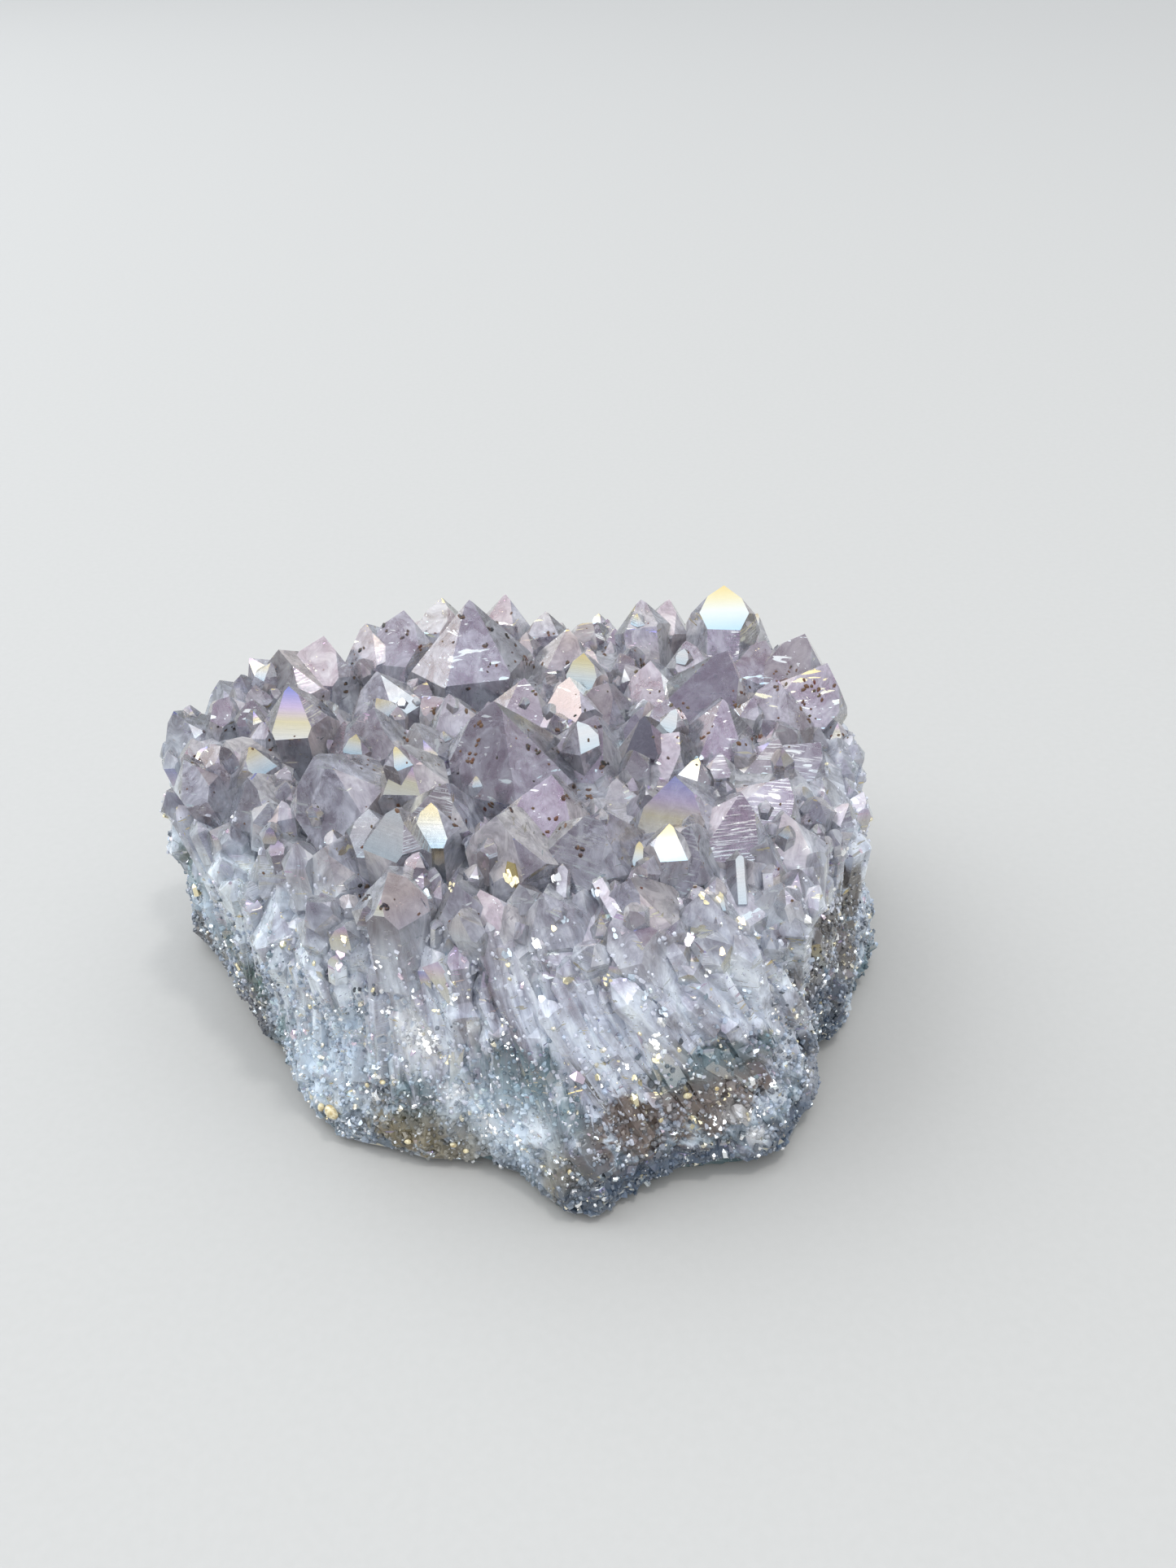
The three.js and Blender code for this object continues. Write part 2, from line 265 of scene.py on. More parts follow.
def closedCopy(node):
    # a solid with its corners joined, which come in apart
    work = bmesh.new()
    work.from_mesh(node.data)
    bmesh.ops.remove_doubles(work, verts=work.verts, dist=3e-6)
    return work


def meshOf(work, name):
    mesh = bpy.data.meshes.new(name)
    work.to_mesh(mesh)
    work.free()
    return mesh


def finalMesh(piece):
    # what the object's modifiers make of it; the object itself goes
    scenery = bpy.context.evaluated_depsgraph_get()
    result = bpy.data.meshes.new_from_object(piece.evaluated_get(scenery))
    bpy.data.objects.remove(piece)
    return result


def addAttribute(mesh, name, kind, domain, key, values):
    mesh.attributes.new(name, kind, domain).data.foreach_set(key, np.asarray(values, np.float32).ravel())


def scattered(chance, spread):
    return Vector([chance.gauss(0, spread) for _ in range(3)])


mostHalvings = 16    # no edge is halved more often than this


def makeFiner(work, isPicked, longest):
    # halves the long edges of the picked faces, never two of one face at once
    for _ in range(mostHalvings):
        work.edges.index_update()
        picked = {edge for face in work.faces if isPicked(face) for edge in face.edges}
        # equal lengths go by number, so that each run halves the same ones
        waiting = [(-edge.calc_length(), edge.index, edge) for edge in picked]
        taken, chosen = set(), []
        for length, number, edge in sorted(waiting, key=lambda entry: entry[:2]):
            if -length <= longest:
                break
            if taken.isdisjoint(edge.link_faces):
                taken.update(edge.link_faces)
                chosen.append(edge)
        if not chosen:
            return
        bmesh.ops.subdivide_edges(work, edges=chosen, cuts=1, use_single_edge=True)


def united(mesh, parts):
    # the mesh and every part, joined into one closed solid
    base = linked("base", mesh)
    crowd = bpy.data.collections.new("crowd")
    bpy.context.scene.collection.children.link(crowd)
    for part in parts:
        crowd.objects.link(bpy.data.objects.new("part", joinedMesh("part", [part])))
    union = base.modifiers.new("union", "BOOLEAN")
    union.operation = "UNION"
    union.solver = "MANIFOLD"
    union.operand_type = "COLLECTION"
    union.collection = crowd
    result = finalMesh(base)
    for part in list(crowd.objects):
        bpy.data.objects.remove(part)
    bpy.data.collections.remove(crowd)
    return result


def addPiece(name, mesh, materials, replaced=None, isSmooth=None):
    # a visible piece on the part's one body; without isSmooth, each face keeps its own shading
    mesh.materials.clear()
    for material in materials:
        mesh.materials.append(material)
    if isSmooth is not None:
        mesh.polygons.foreach_set("use_smooth", np.full(len(mesh.polygons), isSmooth))
    piece = linked(name, mesh)
    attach(piece, "root")
    if replaced:
        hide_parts(replaced)
    return piece


def addPainted(name, parts, colours, attribute, material):
    # one piece of many parts, each with its colour and a fourth value
    mesh = joinedMesh(name, parts)
    perFace = [colour for colour, part in zip(colours, parts) for _ in part[1]]
    addAttribute(mesh, attribute, "FLOAT_COLOR", "FACE", "color", perFace)
    addPiece(name, mesh, [material])
    return len(mesh.polygons)


habit = {
    "facetAngle": 38.2,            # a tip face to the long axis, degrees
    "prismSpread": (0.8, 1.15),    # distances of the six prism faces, in half widths
    "majorGrowth": (-0.05, 0.08),  # how far three tip faces stand out, in half widths
    "minorGrowth": (0.05, 0.4),    # and the three between them
    "patterns": 24,                # different points that the small ones are made from
    "root": -8,                    # level of the patterns' roots, in half widths
    "shortest": 2.1,               # no point is shorter than this, in half widths
}
planeTriples = np.array(list(itertools.combinations(range(13), 3)))
fullTurn = 6.28    # radians


def pointPattern(chance):
    # corners and faces of an uneven quartz point of half width 1, with its tip at the origin
    facet = math.radians(habit["facetAngle"])
    normals, reaches = [(0, 0, -1)], [-habit["root"]]
    for side in range(6):
        turn = math.radians(60 * side)
        outward = (math.cos(turn), math.sin(turn))
        normals.append((*outward, 0))
        reaches.append(chance.uniform(*habit["prismSpread"]))
        growth = chance.uniform(*habit["majorGrowth" if side % 2 == 0 else "minorGrowth"])
        normals.append((outward[0] * math.cos(facet), outward[1] * math.cos(facet), math.sin(facet)))
        reaches.append(growth * math.cos(facet))
    normals, reaches = np.array(normals, float), np.array(reaches, float)
    sets = normals[planeTriples]
    crossing = abs(np.linalg.det(sets)) > 1e-4
    corners = np.linalg.solve(sets[crossing], reaches[planeTriples][crossing][..., None])[..., 0]
    corners = corners[(corners @ normals.T <= reaches + 1e-6).all(axis=1)]
    corners = np.unique(corners.round(4), axis=0)
    work = bmesh.new()
    for corner in corners:
        work.verts.new(corner)
    bmesh.ops.convex_hull(work, input=work.verts)
    bmesh.ops.dissolve_limit(work, angle_limit=0.02, verts=work.verts, edges=work.edges)
    work.verts.index_update()
    hull = np.array([vertex.co for vertex in work.verts])
    faces = [[vertex.index for vertex in face.verts] for face in work.faces]
    work.free()
    return hull, faces


patternChance = random.Random(7)
pointPatterns = [pointPattern(patternChance) for _ in range(habit["patterns"])]


def quartzPoint(chance, tip, axis, halfWidth, length, spin=None):
    # a point in metres, from its tip down its axis
    hull, faces = chance.choice(pointPatterns)
    corners = hull.copy()
    root = corners[:, 2] < habit["root"] + 0.01
    corners[root, 2] = -max(length / halfWidth, habit["shortest"])
    if spin is None:
        spin = chance.uniform(0, fullTurn)
    turned = axis.to_track_quat("Z", "Y").to_matrix() @ Matrix.Rotation(spin, 3, "Z")
    return corners * halfWidth @ np.array(turned).T + np.array(tip), faces


print("quartz habit ready:", len(pointPatterns), "patterns")


crust = {
    "around": 38,              # radius by which the wall is measured round, millimetres
    "beyond": (0.09, 0.06),    # places outside it, outwards and upwards, in metres
    "wallTop": 27,             # the wall's relief ends at this height
    "wallEdge": 1.1,           # longest edge in the wall after it is made finer
    "fluteDepth": 0.45,        # upright flutes of the wall
    "lumpDepth": 0.3,          # finer lumps between them
    "baseLumps": 0.6,          # and how much deeper they get at the base
    "baseTop": 14,             # up to this height
    "blades": 430,             # broken prisms and shards in the wall
    "bladeWidth": (0.5, 2.0),  # their half widths
    "bladeLength": (6, 19),
    "bladeHeights": (6, 24),   # where their middles stand
    "bladeSteepest": 0.6,      # where the wall leans more than this, there are none
    "bladeLean": 9,            # spread of their lean, degrees
    "bladeTilt": (-0.05, 0.08),
    "bladeSunk": (0.35, 0.8),  # how deep their axes lie, in half widths
    "bladeRoot": 0.4,          # and their roots at least
    "bladeTop": 31,            # no blade reaches above this
    "bladeFoot": 3,            # or below this
    "bladeProud": 1.2,         # or further out of the wall than this
    "gapPoints": 170,          # little points in the valleys
    "gapWidth": (0.8, 2.1),
    "gapHeights": (22, 33.5),
    "gapOval": (0.044, 0.88),  # they stand within this reach in metres, less deep than wide
    "gapFlattest": 0.35,       # they stand where the surface faces up at least this much
    "gapLean": 0.22,
    "gapRise": (0.9, 2.2),     # how far their tips stand out, in half widths
    "slant": -30,              # lean of the blades at the front right, degrees
    "slantBearing": -62,       # where that lean is greatest
    "slantReach": 45,
}


def wallHit(tree, bearing, height):
    # place and normal of the wall, seen from outside at a bearing in degrees and a height in millimetres
    turn = math.radians(bearing)
    outward = Vector((math.cos(turn), math.sin(turn), 0))
    start = outward * crust["beyond"][0] + Vector((0, 0, height * mm))
    return tree.ray_cast(start, -outward)[:2]


def seenFromAbove(tree, bearing, away, depth):
    # place and normal on the oval crown, seen from above: bearing in radians, distance in metres
    above = Vector((math.cos(bearing) * away, math.sin(bearing) * away * depth, crust["beyond"][1]))
    return tree.ray_cast(above, Vector((0, 0, -1)))[:2]


def slantAt(bearing):
    away = (bearing - crust["slantBearing"] + 180) % 360 - 180
    return math.radians(crust["slant"]) * math.exp(-(away / crust["slantReach"]) ** 2)


def isWall(face):
    return abs(face.normal.z) < 0.5 and all(vertex.co.z < crust["wallTop"] * mm for vertex in face.verts)


def wallRelief(place):
    # upright flutes that drift sideways with height, with lumps between them
    bearing = math.atan2(place.y, place.x)
    drift = math.tan(slantAt(math.degrees(bearing))) * place.z / mm
    around = bearing * crust["around"] - drift
    flutes = noise.noise(Vector((around * 0.55, place.z / mm * 0.07, 3.1)))
    lumps = noise.fractal(place / mm * 0.6, 0.6, 2.2, 3)
    lumpDepth = crust["lumpDepth"] + crust["baseLumps"] * max(0, 1 - place.z / mm / crust["baseTop"])
    return (crust["fluteDepth"] * flutes + lumpDepth * lumps) * mm


# deep grooves of the wall, by where their two ends are seen, with depth and half width in millimetres
grooves = [
    ((966, 1075), (1000, 1300), 2.0, 1.7), ((545, 1150), (590, 1225), 1.1, 1.0),
    ((600, 1095), (607, 1220), 1.0, 0.9), ((655, 1110), (668, 1230), 0.8, 0.9),
    ((735, 1080), (830, 1260), 0.9, 1.0), ((800, 1090), (880, 1250), 0.8, 0.9),
    ((700, 1130), (760, 1260), 0.7, 0.8), ((870, 1060), (925, 1220), 0.8, 0.9),
    ((500, 1130), (520, 1260), 0.8, 0.9), ((440, 1120), (455, 1280), 0.9, 1.0),
    ((385, 1100), (400, 1280), 0.9, 1.0), ((330, 1080), (350, 1230), 0.8, 0.9),
]


def placedGrooves(tree):
    placed = []
    for start, end, depth, width in grooves:
        first, last = seenAt(tree, *start)[0], seenAt(tree, *end)[0]
        if first is not None and last is not None:
            placed.append((first, last, depth * mm, width * mm))
    return placed


def grooveDepth(place, placed):
    depth = 0
    for first, last, deepest, width in placed:
        nearest, along = intersect_point_line(place, first, last)
        if -0.15 < along < 1.15:
            fade = min(1, (along + 0.15) * 4, (1.15 - along) * 4)
            depth = max(depth, fade * deepest * math.exp(-((place - nearest).length / width) ** 2))
    return depth


def reliefMesh(node):
    # a copy of the solid, finer in its wall and with the wall's relief
    placed = placedGrooves(treeOf(node.data))
    work = closedCopy(node)
    makeFiner(work, isWall, crust["wallEdge"] * mm)
    work.normal_update()
    moves = []
    for vertex in work.verts:
        if all(isWall(face) for face in vertex.link_faces):
            moves.append((vertex, vertex.normal * (wallRelief(vertex.co) - grooveDepth(vertex.co, placed))))
    for vertex, move in moves:
        vertex.co += move
    return meshOf(work, "quartz")


def wallBlades(tree, chance):
    blades = []
    while len(blades) < crust["blades"]:
        bearing = chance.uniform(-180, 180)
        place, normal = wallHit(tree, bearing, chance.uniform(*crust["bladeHeights"]))
        if place is None or abs(normal.z) > crust["bladeSteepest"]:
            continue
        along = Vector((0, 0, 1)).cross(normal).normalized()
        upward = normal.cross(along)
        lean = slantAt(bearing) + math.radians(chance.gauss(0, crust["bladeLean"]))
        outward = normal * chance.uniform(*crust["bladeTilt"])
        axis = (upward * math.cos(lean) + along * math.sin(lean) + outward).normalized()
        halfWidth = chance.uniform(*crust["bladeWidth"]) * mm
        length = chance.uniform(*crust["bladeLength"]) * mm
        tip = place + axis * length / 2 - normal * halfWidth * chance.uniform(*crust["bladeSunk"])
        tip.z = min(tip.z, crust["bladeTop"] * mm)
        root = tip - axis * max(length, habit["shortest"] * halfWidth)
        surface, outward, _, _ = tree.find_nearest(root)
        isShallow = (surface - root).dot(outward) < halfWidth * crust["bladeRoot"]
        if root.z < crust["bladeFoot"] * mm or isShallow:
            continue
        surface, outward, _, _ = tree.find_nearest(tip)
        if (tip - surface).dot(outward) <= crust["bladeProud"] * mm:
            blades.append(quartzPoint(chance, tip, axis, halfWidth, length))
    return blades


def gapPoints(tree, chance):
    points = []
    lowest, highest = crust["gapHeights"]
    reach, depth = crust["gapOval"]
    while len(points) < crust["gapPoints"]:
        bearing = math.radians(chance.uniform(-180, 180))
        place, normal = seenFromAbove(tree, bearing, math.sqrt(chance.uniform(0, 1)) * reach, depth)
        if place is None or not lowest * mm <= place.z <= highest * mm or normal.z < crust["gapFlattest"]:
            continue
        axis = (Vector((0, 0, 1)) + normal * 0.6 + scattered(chance, crust["gapLean"])).normalized()
        halfWidth = chance.uniform(*crust["gapWidth"]) * mm
        tip = place + axis * halfWidth * chance.uniform(*crust["gapRise"])
        points.append(quartzPoint(chance, tip, axis, halfWidth, 4 * halfWidth))
    return points


# small points with a facet turned to the front, by where they are seen: across, down, half width in
# millimetres
glintPlaces = [
    (312, 880, 1.2), (440, 915, 1.6), (235, 875, 1.2), (257, 945, 1.3), (717, 824, 2.8), (676, 872, 1.1),
    (712, 905, 2.4), (495, 862, 0.7), (511, 860, 0.6), (560, 864, 0.8), (645, 862, 0.7), (487, 932, 1.7),
    (783, 762, 1.1), (841, 806, 1.2), (830, 885, 1.9), (525, 1098, 0.9), (625, 1072, 1.7),
    (416, 1180, 0.9), (912, 1137, 0.7), (1043, 850, 1.6), (790, 992, 2.3), (822, 1032, 2.4),
    (480, 1098, 3.3), (310, 938, 2.5), (850, 1012, 1.4), (803, 1286, 0.8), (960, 930, 1.3),
    (985, 975, 1.2), (940, 990, 1.0), (600, 1040, 1.3), (340, 1040, 1.2), (1052, 890, 1.3),
    (545, 905, 0.8), (700, 820, 0.7), (585, 960, 0.8), (740, 1000, 0.7), (1020, 905, 0.8),
]
furtherTurns = {(480, 1098): 0.5}    # of a point that shows two facets, in radians
glint = {
    "tip": (0, -0.15, 0.95),    # from the place that is seen, in half widths
    "sideways": 0.07,           # spread of the lean
    "forwards": (-0.03, 0.05),  # its middle and spread
    "turn": 0.08,
    "length": 4,                # in half widths
}


def glintPoints(tree, chance):
    points = []
    for across, down, halfWidth in glintPlaces:
        place = seenAt(tree, across, down)[0]
        if place is None:
            continue
        width = halfWidth * mm
        tip = place + Vector(glint["tip"]) * width
        sideways, forwards = chance.gauss(0, glint["sideways"]), chance.gauss(*glint["forwards"])
        axis = Vector((sideways, forwards, 1)).normalized()
        spin = -math.pi / 2 + chance.gauss(0, glint["turn"]) + furtherTurns.get((across, down), 0)
        points.append(quartzPoint(chance, tip, axis, width, glint["length"] * width, spin))
    return points


# slender columns on the wall, by where their upper and lower ends are seen, with half width in
# millimetres
columns = [
    ((728, 1078), (768, 1150), 0.9), ((905, 1042), (912, 1108), 1.2),
    ((884, 1085), (892, 1125), 0.7), ((790, 1040), (796, 1072), 0.7), ((690, 1060), (692, 1100), 0.8),
    ((880, 1120), (925, 1230), 0.9), ((945, 1060), (952, 1160), 1.0),
    ((620, 1150), (628, 1250), 1.0), ((500, 1130), (508, 1230), 1.0), ((660, 1150), (690, 1260), 0.9),
    ((560, 1080), (580, 1180), 1.0), ((460, 1160), (470, 1250), 0.9), ((305, 1080), (322, 1200), 1.2),
    ((270, 1040), (285, 1150), 1.1), ((360, 1080), (372, 1220), 1.0), ((700, 1180), (742, 1290), 0.8),
    ((830, 1100), (880, 1200), 1.0), ((640, 1240), (660, 1310), 0.7), ((412, 1130), (418, 1200), 0.8),
    ((925, 1230), (950, 1330), 0.8), ((540, 1210), (550, 1290), 0.8),
]
longestColumn = 0.016        # metres; a longer one has missed the wall with one end
columnSunk = (0.35, 0.75)    # how deep its top and its foot lie, in half widths


def wallColumns(tree, chance):
    made = []
    for upper, lower, halfWidth in columns:
        top, above, _ = seenAt(tree, *upper)
        foot, below, _ = seenAt(tree, *lower)
        if top is None or foot is None or (top - foot).length > longestColumn:
            continue
        width = halfWidth * mm
        top, foot = top - above * width * columnSunk[0], foot - below * width * columnSunk[1]
        made.append(quartzPoint(chance, top, (top - foot).normalized(), width, (top - foot).length))
    return made


def makeQuartz():
    chance = random.Random(41)
    node = frame["nodes"]["quartz_cluster"]
    tree = treeOf(node.data)
    points = wallBlades(tree, chance) + gapPoints(tree, chance) + glintPoints(tree, chance)
    points += wallColumns(tree, chance)
    return united(reliefMesh(node), points)


quartzMesh = makeQuartz()
print("quartz crust:", len(quartzMesh.polygons), "faces")


film = {
    "flat": 0.02,            # neighbouring faces within this angle, in radians, make one facet
    "plain": (0.0, 0.07),    # share of the film on most facets
    "bright": (0.3, 0.7),    # and on a few
    "brightShare": 0.08,
    "smallest": 0.3,         # the bright ones lie between these areas, in square millimetres
    "largest": 9.0,
}

# facets that flash, by colour, with where they are seen and the film's strength
flashes = {
    "violet": [(312, 880, 0.9), (364, 880, 0.95), (235, 875, 0.5), (257, 945, 0.35), (820, 985, 0.7)],
    "gold": [
        (310, 938, 0.6), (440, 915, 0.8), (717, 821, 0.95), (487, 932, 0.8), (462, 1045, 0.75),
        (528, 1035, 0.7), (783, 762, 0.8), (875, 768, 0.95), (1052, 890, 0.7), (822, 1036, 0.8),
        (888, 1105, 0.7), (793, 1056, 0.8), (912, 1137, 0.6), (545, 905, 0.5), (585, 960, 0.5),
    ],
    "pale": [
        (676, 872, 0.8), (712, 905, 0.95), (560, 1005, 0.35), (841, 806, 0.9), (830, 885, 0.95),
        (525, 1098, 0.8), (748, 1112, 0.12), (803, 1286, 0.7), (908, 1075, 0.8), (691, 1080, 0.12),
        (900, 1175, 0.3), (948, 1110, 0.4), (624, 1200, 0.2), (504, 1180, 0.2), (312, 1140, 0.25),
        (545, 1250, 0.25), (590, 800, 0.04), (560, 790, 0.04), (495, 862, 0.7), (511, 860, 0.7),
        (560, 864, 0.7), (645, 862, 0.7), (700, 820, 0.5), (740, 1000, 0.5),
    ],
    "pink": [
        (497, 975, 0.9), (1043, 850, 0.6), (462, 1103, 0.85), (416, 1180, 0.8), (415, 1165, 0.7),
        (1020, 905, 0.5),
    ],
    "peach": [(500, 1092, 0.3), (690, 850, 0.4), (640, 775, 0.35)],
    "honey": [(628, 1073, 0.95)],
    # steel: dark mirrors, a painted dark reflection and shade on facets that look dark
    "steel": [
        (765, 870, 0.6), (798, 905, 0.75), (805, 888, 0.7), (776, 891, 0.6), (850, 850, 0.35),
        (745, 935, 0.3), (690, 905, 0.5), (640, 880, 0.25),
    ],
}
# the numbers by which a facet names its colour to the material
flashNumbers = {
    "violet": 0.1, "gold": 0.3, "pale": 0.5, "pink": 0.7, "peach": 0.9, "honey": 1.1, "steel": 1.3,
}
usualColours = ["pale", "pale", "pale", "pale", "gold", "gold", "violet", "pink"]

# tones of single facets, painted light and shade as each is lit or in shade: across, down, tone from dark to
# light
paintedFacetShading = [
    (850, 850, 0.08), (765, 875, 0.06), (798, 903, 0.04), (760, 860, 0.06), (775, 890, 0.06),
    (805, 890, 0.05), (812, 912, 0.05), (788, 915, 0.05), (870, 862, 0.1), (838, 846, 0.1),
    (700, 940, 0.15), (640, 880, 0.2), (735, 935, 0.15), (690, 905, 0.25), (600, 840, 0.3),
    (600, 1000, 0.35), (560, 780, 0.8), (520, 790, 0.75), (460, 800, 0.7), (770, 800, 0.4),
    (695, 1030, 0.4), (640, 960, 0.45), (920, 800, 0.35), (767, 1213, 0.35), (845, 1231, 0.35),
    (350, 985, 0.5), (820, 985, 0.85), (590, 800, 0.62), (420, 990, 0.75), (485, 1040, 0.55),
    (950, 1000, 0.8), (1000, 960, 0.85), (880, 980, 0.8),
]

# facets with fine bright steps across them, by where they are seen; and the share of others like them
steppedFacets = [
    (890, 935), (925, 905), (960, 915), (990, 930), (1000, 970), (885, 965), (930, 1000), (960, 960),
    (1015, 945), (765, 870), (470, 1035), (497, 1040), (330, 990), (545, 985), (860, 1060), (895, 1020),
    (520, 985), (700, 1060),
]
steppedShare = 0.05

# a facet that faces this way shows the key light to the camera
toLight = Vector((0.04, -0.74, 0.67))
facesLight = 0.75    # the dot product from which a facet does so


def facetsOf(mesh):
    # the number of the flat facet that each face is a part of
    work = bmesh.new()
    work.from_mesh(mesh)
    work.faces.ensure_lookup_table()
    facetOf = [-1] * len(work.faces)
    count = 0
    for face in work.faces:
        if facetOf[face.index] >= 0:
            continue
        waiting = [face]
        facetOf[face.index] = count
        while waiting:
            current = waiting.pop()
            for edge in current.edges:
                for other in edge.link_faces:
                    if facetOf[other.index] < 0 and other.normal.angle(face.normal, 3.0) < film["flat"]:
                        facetOf[other.index] = count
                        waiting.append(other)
        count += 1
    work.free()
    return np.array(facetOf), count


def flashFace(tree, across, down, colour, facetOf, areas):
    # the face seen at a place, or a small facet beside it that turns more to the key light
    place, normal, found = seenAt(tree, across, down)
    if place is None or colour == "steel" or normal.dot(toLight) > facesLight:
        return found
    best = normal.dot(toLight)
    for aside, below in itertools.product((0, -5, 5), repeat=2):
        place, normal, face = seenAt(tree, across + aside, down + below)
        if place is not None and normal.dot(toLight) > best and areas[facetOf[face]] < film["largest"]:
            best, found = normal.dot(toLight), face
    return found


def upFacets(mesh, facetOf, count):
    # how far up its facet each corner lies, from 0 to 1
    heights = np.array([vertex.co.z for vertex in mesh.vertices])
    corners = np.array([loop.vertex_index for loop in mesh.loops])
    facetOfCorner = np.repeat(facetOf, [face.loop_total for face in mesh.polygons])
    lowest, highest = np.full(count, 1.0), np.full(count, -1.0)
    np.minimum.at(lowest, facetOfCorner, heights[corners])
    np.maximum.at(highest, facetOfCorner, heights[corners])
    span = np.maximum(highest - lowest, 1e-6)
    return (heights[corners] - lowest[facetOfCorner]) / span[facetOfCorner]


def markFacets(mesh):
    # each facet's tint, tone, film and steps, first at random and then for the facets that are named; the
    # named tones are painted light and shade
    chance = random.Random(12)
    facetOf, count = facetsOf(mesh)
    areas = np.zeros(count)
    sizes = np.array([face.area for face in mesh.polygons]) / mm ** 2
    np.add.at(areas, facetOf, sizes)
    tint = np.array([chance.random() for _ in range(count)])
    tone = np.array([chance.betavariate(1.7, 1.4) for _ in range(count)])
    share = np.array([chance.uniform(*film["plain"]) for _ in range(count)])
    colours = [chance.choice(usualColours) for _ in range(count)]
    for facet in range(count):
        if film["smallest"] < areas[facet] < film["largest"] and chance.random() < film["brightShare"]:
            share[facet] = chance.uniform(*film["bright"])
    stepped = np.array([float(chance.random() < steppedShare) for _ in range(count)])
    tree = treeOf(mesh)
    # the listed facets take painted light and shade as their tone
    for across, down, wanted in paintedFacetShading:
        face = seenAt(tree, across, down)[2]
        if face is not None:
            tone[facetOf[face]], tint[facetOf[face]] = wanted, 0.2
            share[facetOf[face]], stepped[facetOf[face]] = 0.03, 0
    for colour, places in flashes.items():
        for across, down, strength in places:
            face = flashFace(tree, across, down, colour, facetOf, areas)
            if face is not None:
                share[facetOf[face]] = strength
                colours[facetOf[face]] = colour
    for across, down in steppedFacets:
        face = seenAt(tree, across, down)[2]
        if face is not None:
            stepped[facetOf[face]] = 1
            colours[facetOf[face]] = "pale"
    palette = np.array([flashNumbers[colour] for colour in colours])
    marks = {"Steps": stepped, "Tint": tint, "Tone": tone, "Film": share, "Palette": palette}
    for name, values in marks.items():
        addAttribute(mesh, "facet" + name, "FLOAT", "FACE", "value", values[facetOf])
    films = np.array([filmOfColour[colour] for colour in colours], np.int32)
    mesh.polygons.foreach_set("material_index", films[facetOf])
    addAttribute(mesh, "upFacet", "FLOAT", "CORNER", "value", upFacets(mesh, facetOf, count))
    return count


# thickness of the film in nanometres, which sets the hue of its gloss, and the film of each flash
filmThickness = {"violetFilm": 310, "goldFilm": 228, "paleFilm": 120}
filmOfColour = {"violet": 0, "gold": 1, "pale": 2, "pink": 0, "peach": 1, "honey": 1, "steel": 2}

# how the colour of each flash runs up its facet, in the order of the numbers that the facets carry
flashStops = {
    "violet": [
        (0.0, (1, 1, 0.97)), (0.35, (1.0, 0.9, 0.6)), (0.62, (0.85, 0.7, 0.95)), (1.0, (0.36, 0.42, 0.95)),
    ],
    "gold": [
        (0.0, (0.6, 0.84, 1.0)), (0.45, (0.96, 1, 0.96)), (0.72, (1, 0.92, 0.62)), (1.0, (1, 0.8, 0.36)),
    ],
    "pale": [(0.0, (0.8, 0.93, 1.0)), (0.6, (1, 1, 1)), (1.0, (0.9, 0.97, 1.0))],
    "pink": [
        (0.0, (1, 1, 0.92)), (0.55, (1.0, 0.94, 0.7)), (0.8, (0.95, 0.72, 0.85)), (1.0, (0.75, 0.6, 0.95)),
    ],
    "peach": [(0.0, (0.70, 0.66, 0.74)), (0.5, (0.9, 0.74, 0.66)), (1.0, (0.95, 0.82, 0.72))],
    "honey": [(0.0, (0.98, 0.80, 0.36))],
    # steel is the colour of a painted dark reflection
    "steel": [(0.0, (0.19, 0.19, 0.24))],
}


def flashColour(sheet):
    up = sheet.attribute("upFacet")
    number = sheet.attribute("facetPalette")
    colour = sheet.ramp(up, flashStops["violet"])
    for name in list(flashStops)[1:]:
        stops = flashStops[name]
        own = sheet.ramp(up, stops) if len(stops) > 1 else rgb(*stops[0][1])
        colour = sheet.blend(number > flashNumbers[name] - 0.1, colour, own)
    return sheet.blend(1.0, colour, rgb(0.66, 0.65, 0.64), "MULTIPLY")


def facetColour(sheet):
    # each facet's shade and hue; at the listed facets the shade is painted light and shade, elsewhere a
    # random tone
    shade = sheet.ramp(sheet.attribute("facetTone"), [
        (0.0, (0.13, 0.14, 0.17)), (0.3, (0.38, 0.395, 0.43)), (0.6, (0.65, 0.67, 0.70)),
        (1.0, (0.94, 0.97, 1.0)),
    ])
    hue = sheet.ramp(sheet.attribute("facetTint"), [
        (0.0, (0.93, 0.92, 1.0)), (0.3, (1.0, 1.0, 1.0)), (0.55, (1.0, 0.97, 0.97)),
        (0.72, (1.0, 0.96, 0.89)), (0.86, (1.0, 0.90, 0.82)), (0.95, (0.98, 0.80, 0.70)),
    ])
    return sheet.blend(1.0, shade, hue, "MULTIPLY")


def glintShare(sheet, side, wall, steps):
    # bright shards and grains, and the steps of the stepped facets
    shards = sheet.noise(1, 2, 0.5, 0.4, sheet.stretched((330, 330, 1900), (0.25, -0.2, 0)))
    sprinkle = sheet.noise(1, 2, 0.6, 0.6, sheet.stretched((1300, 1300, 2300), (0.5, 0.3, 0)))
    shardGlints = sheet.range(shards + sheet.range(side, 0.012, 0.034, 0.0, 0.03), 0.655, 0.685, 0.0, 0.85)
    fineGlints = sheet.range(sprinkle + wall * 0.035, 0.685, 0.71, 0.0, 0.8)
    stepGlints = sheet.attribute("facetSteps") * sheet.range(steps, 0.52, 0.62, 0.0, 0.55)
    return sheet.larger(sheet.larger(shardGlints, fineGlints), stepGlints)


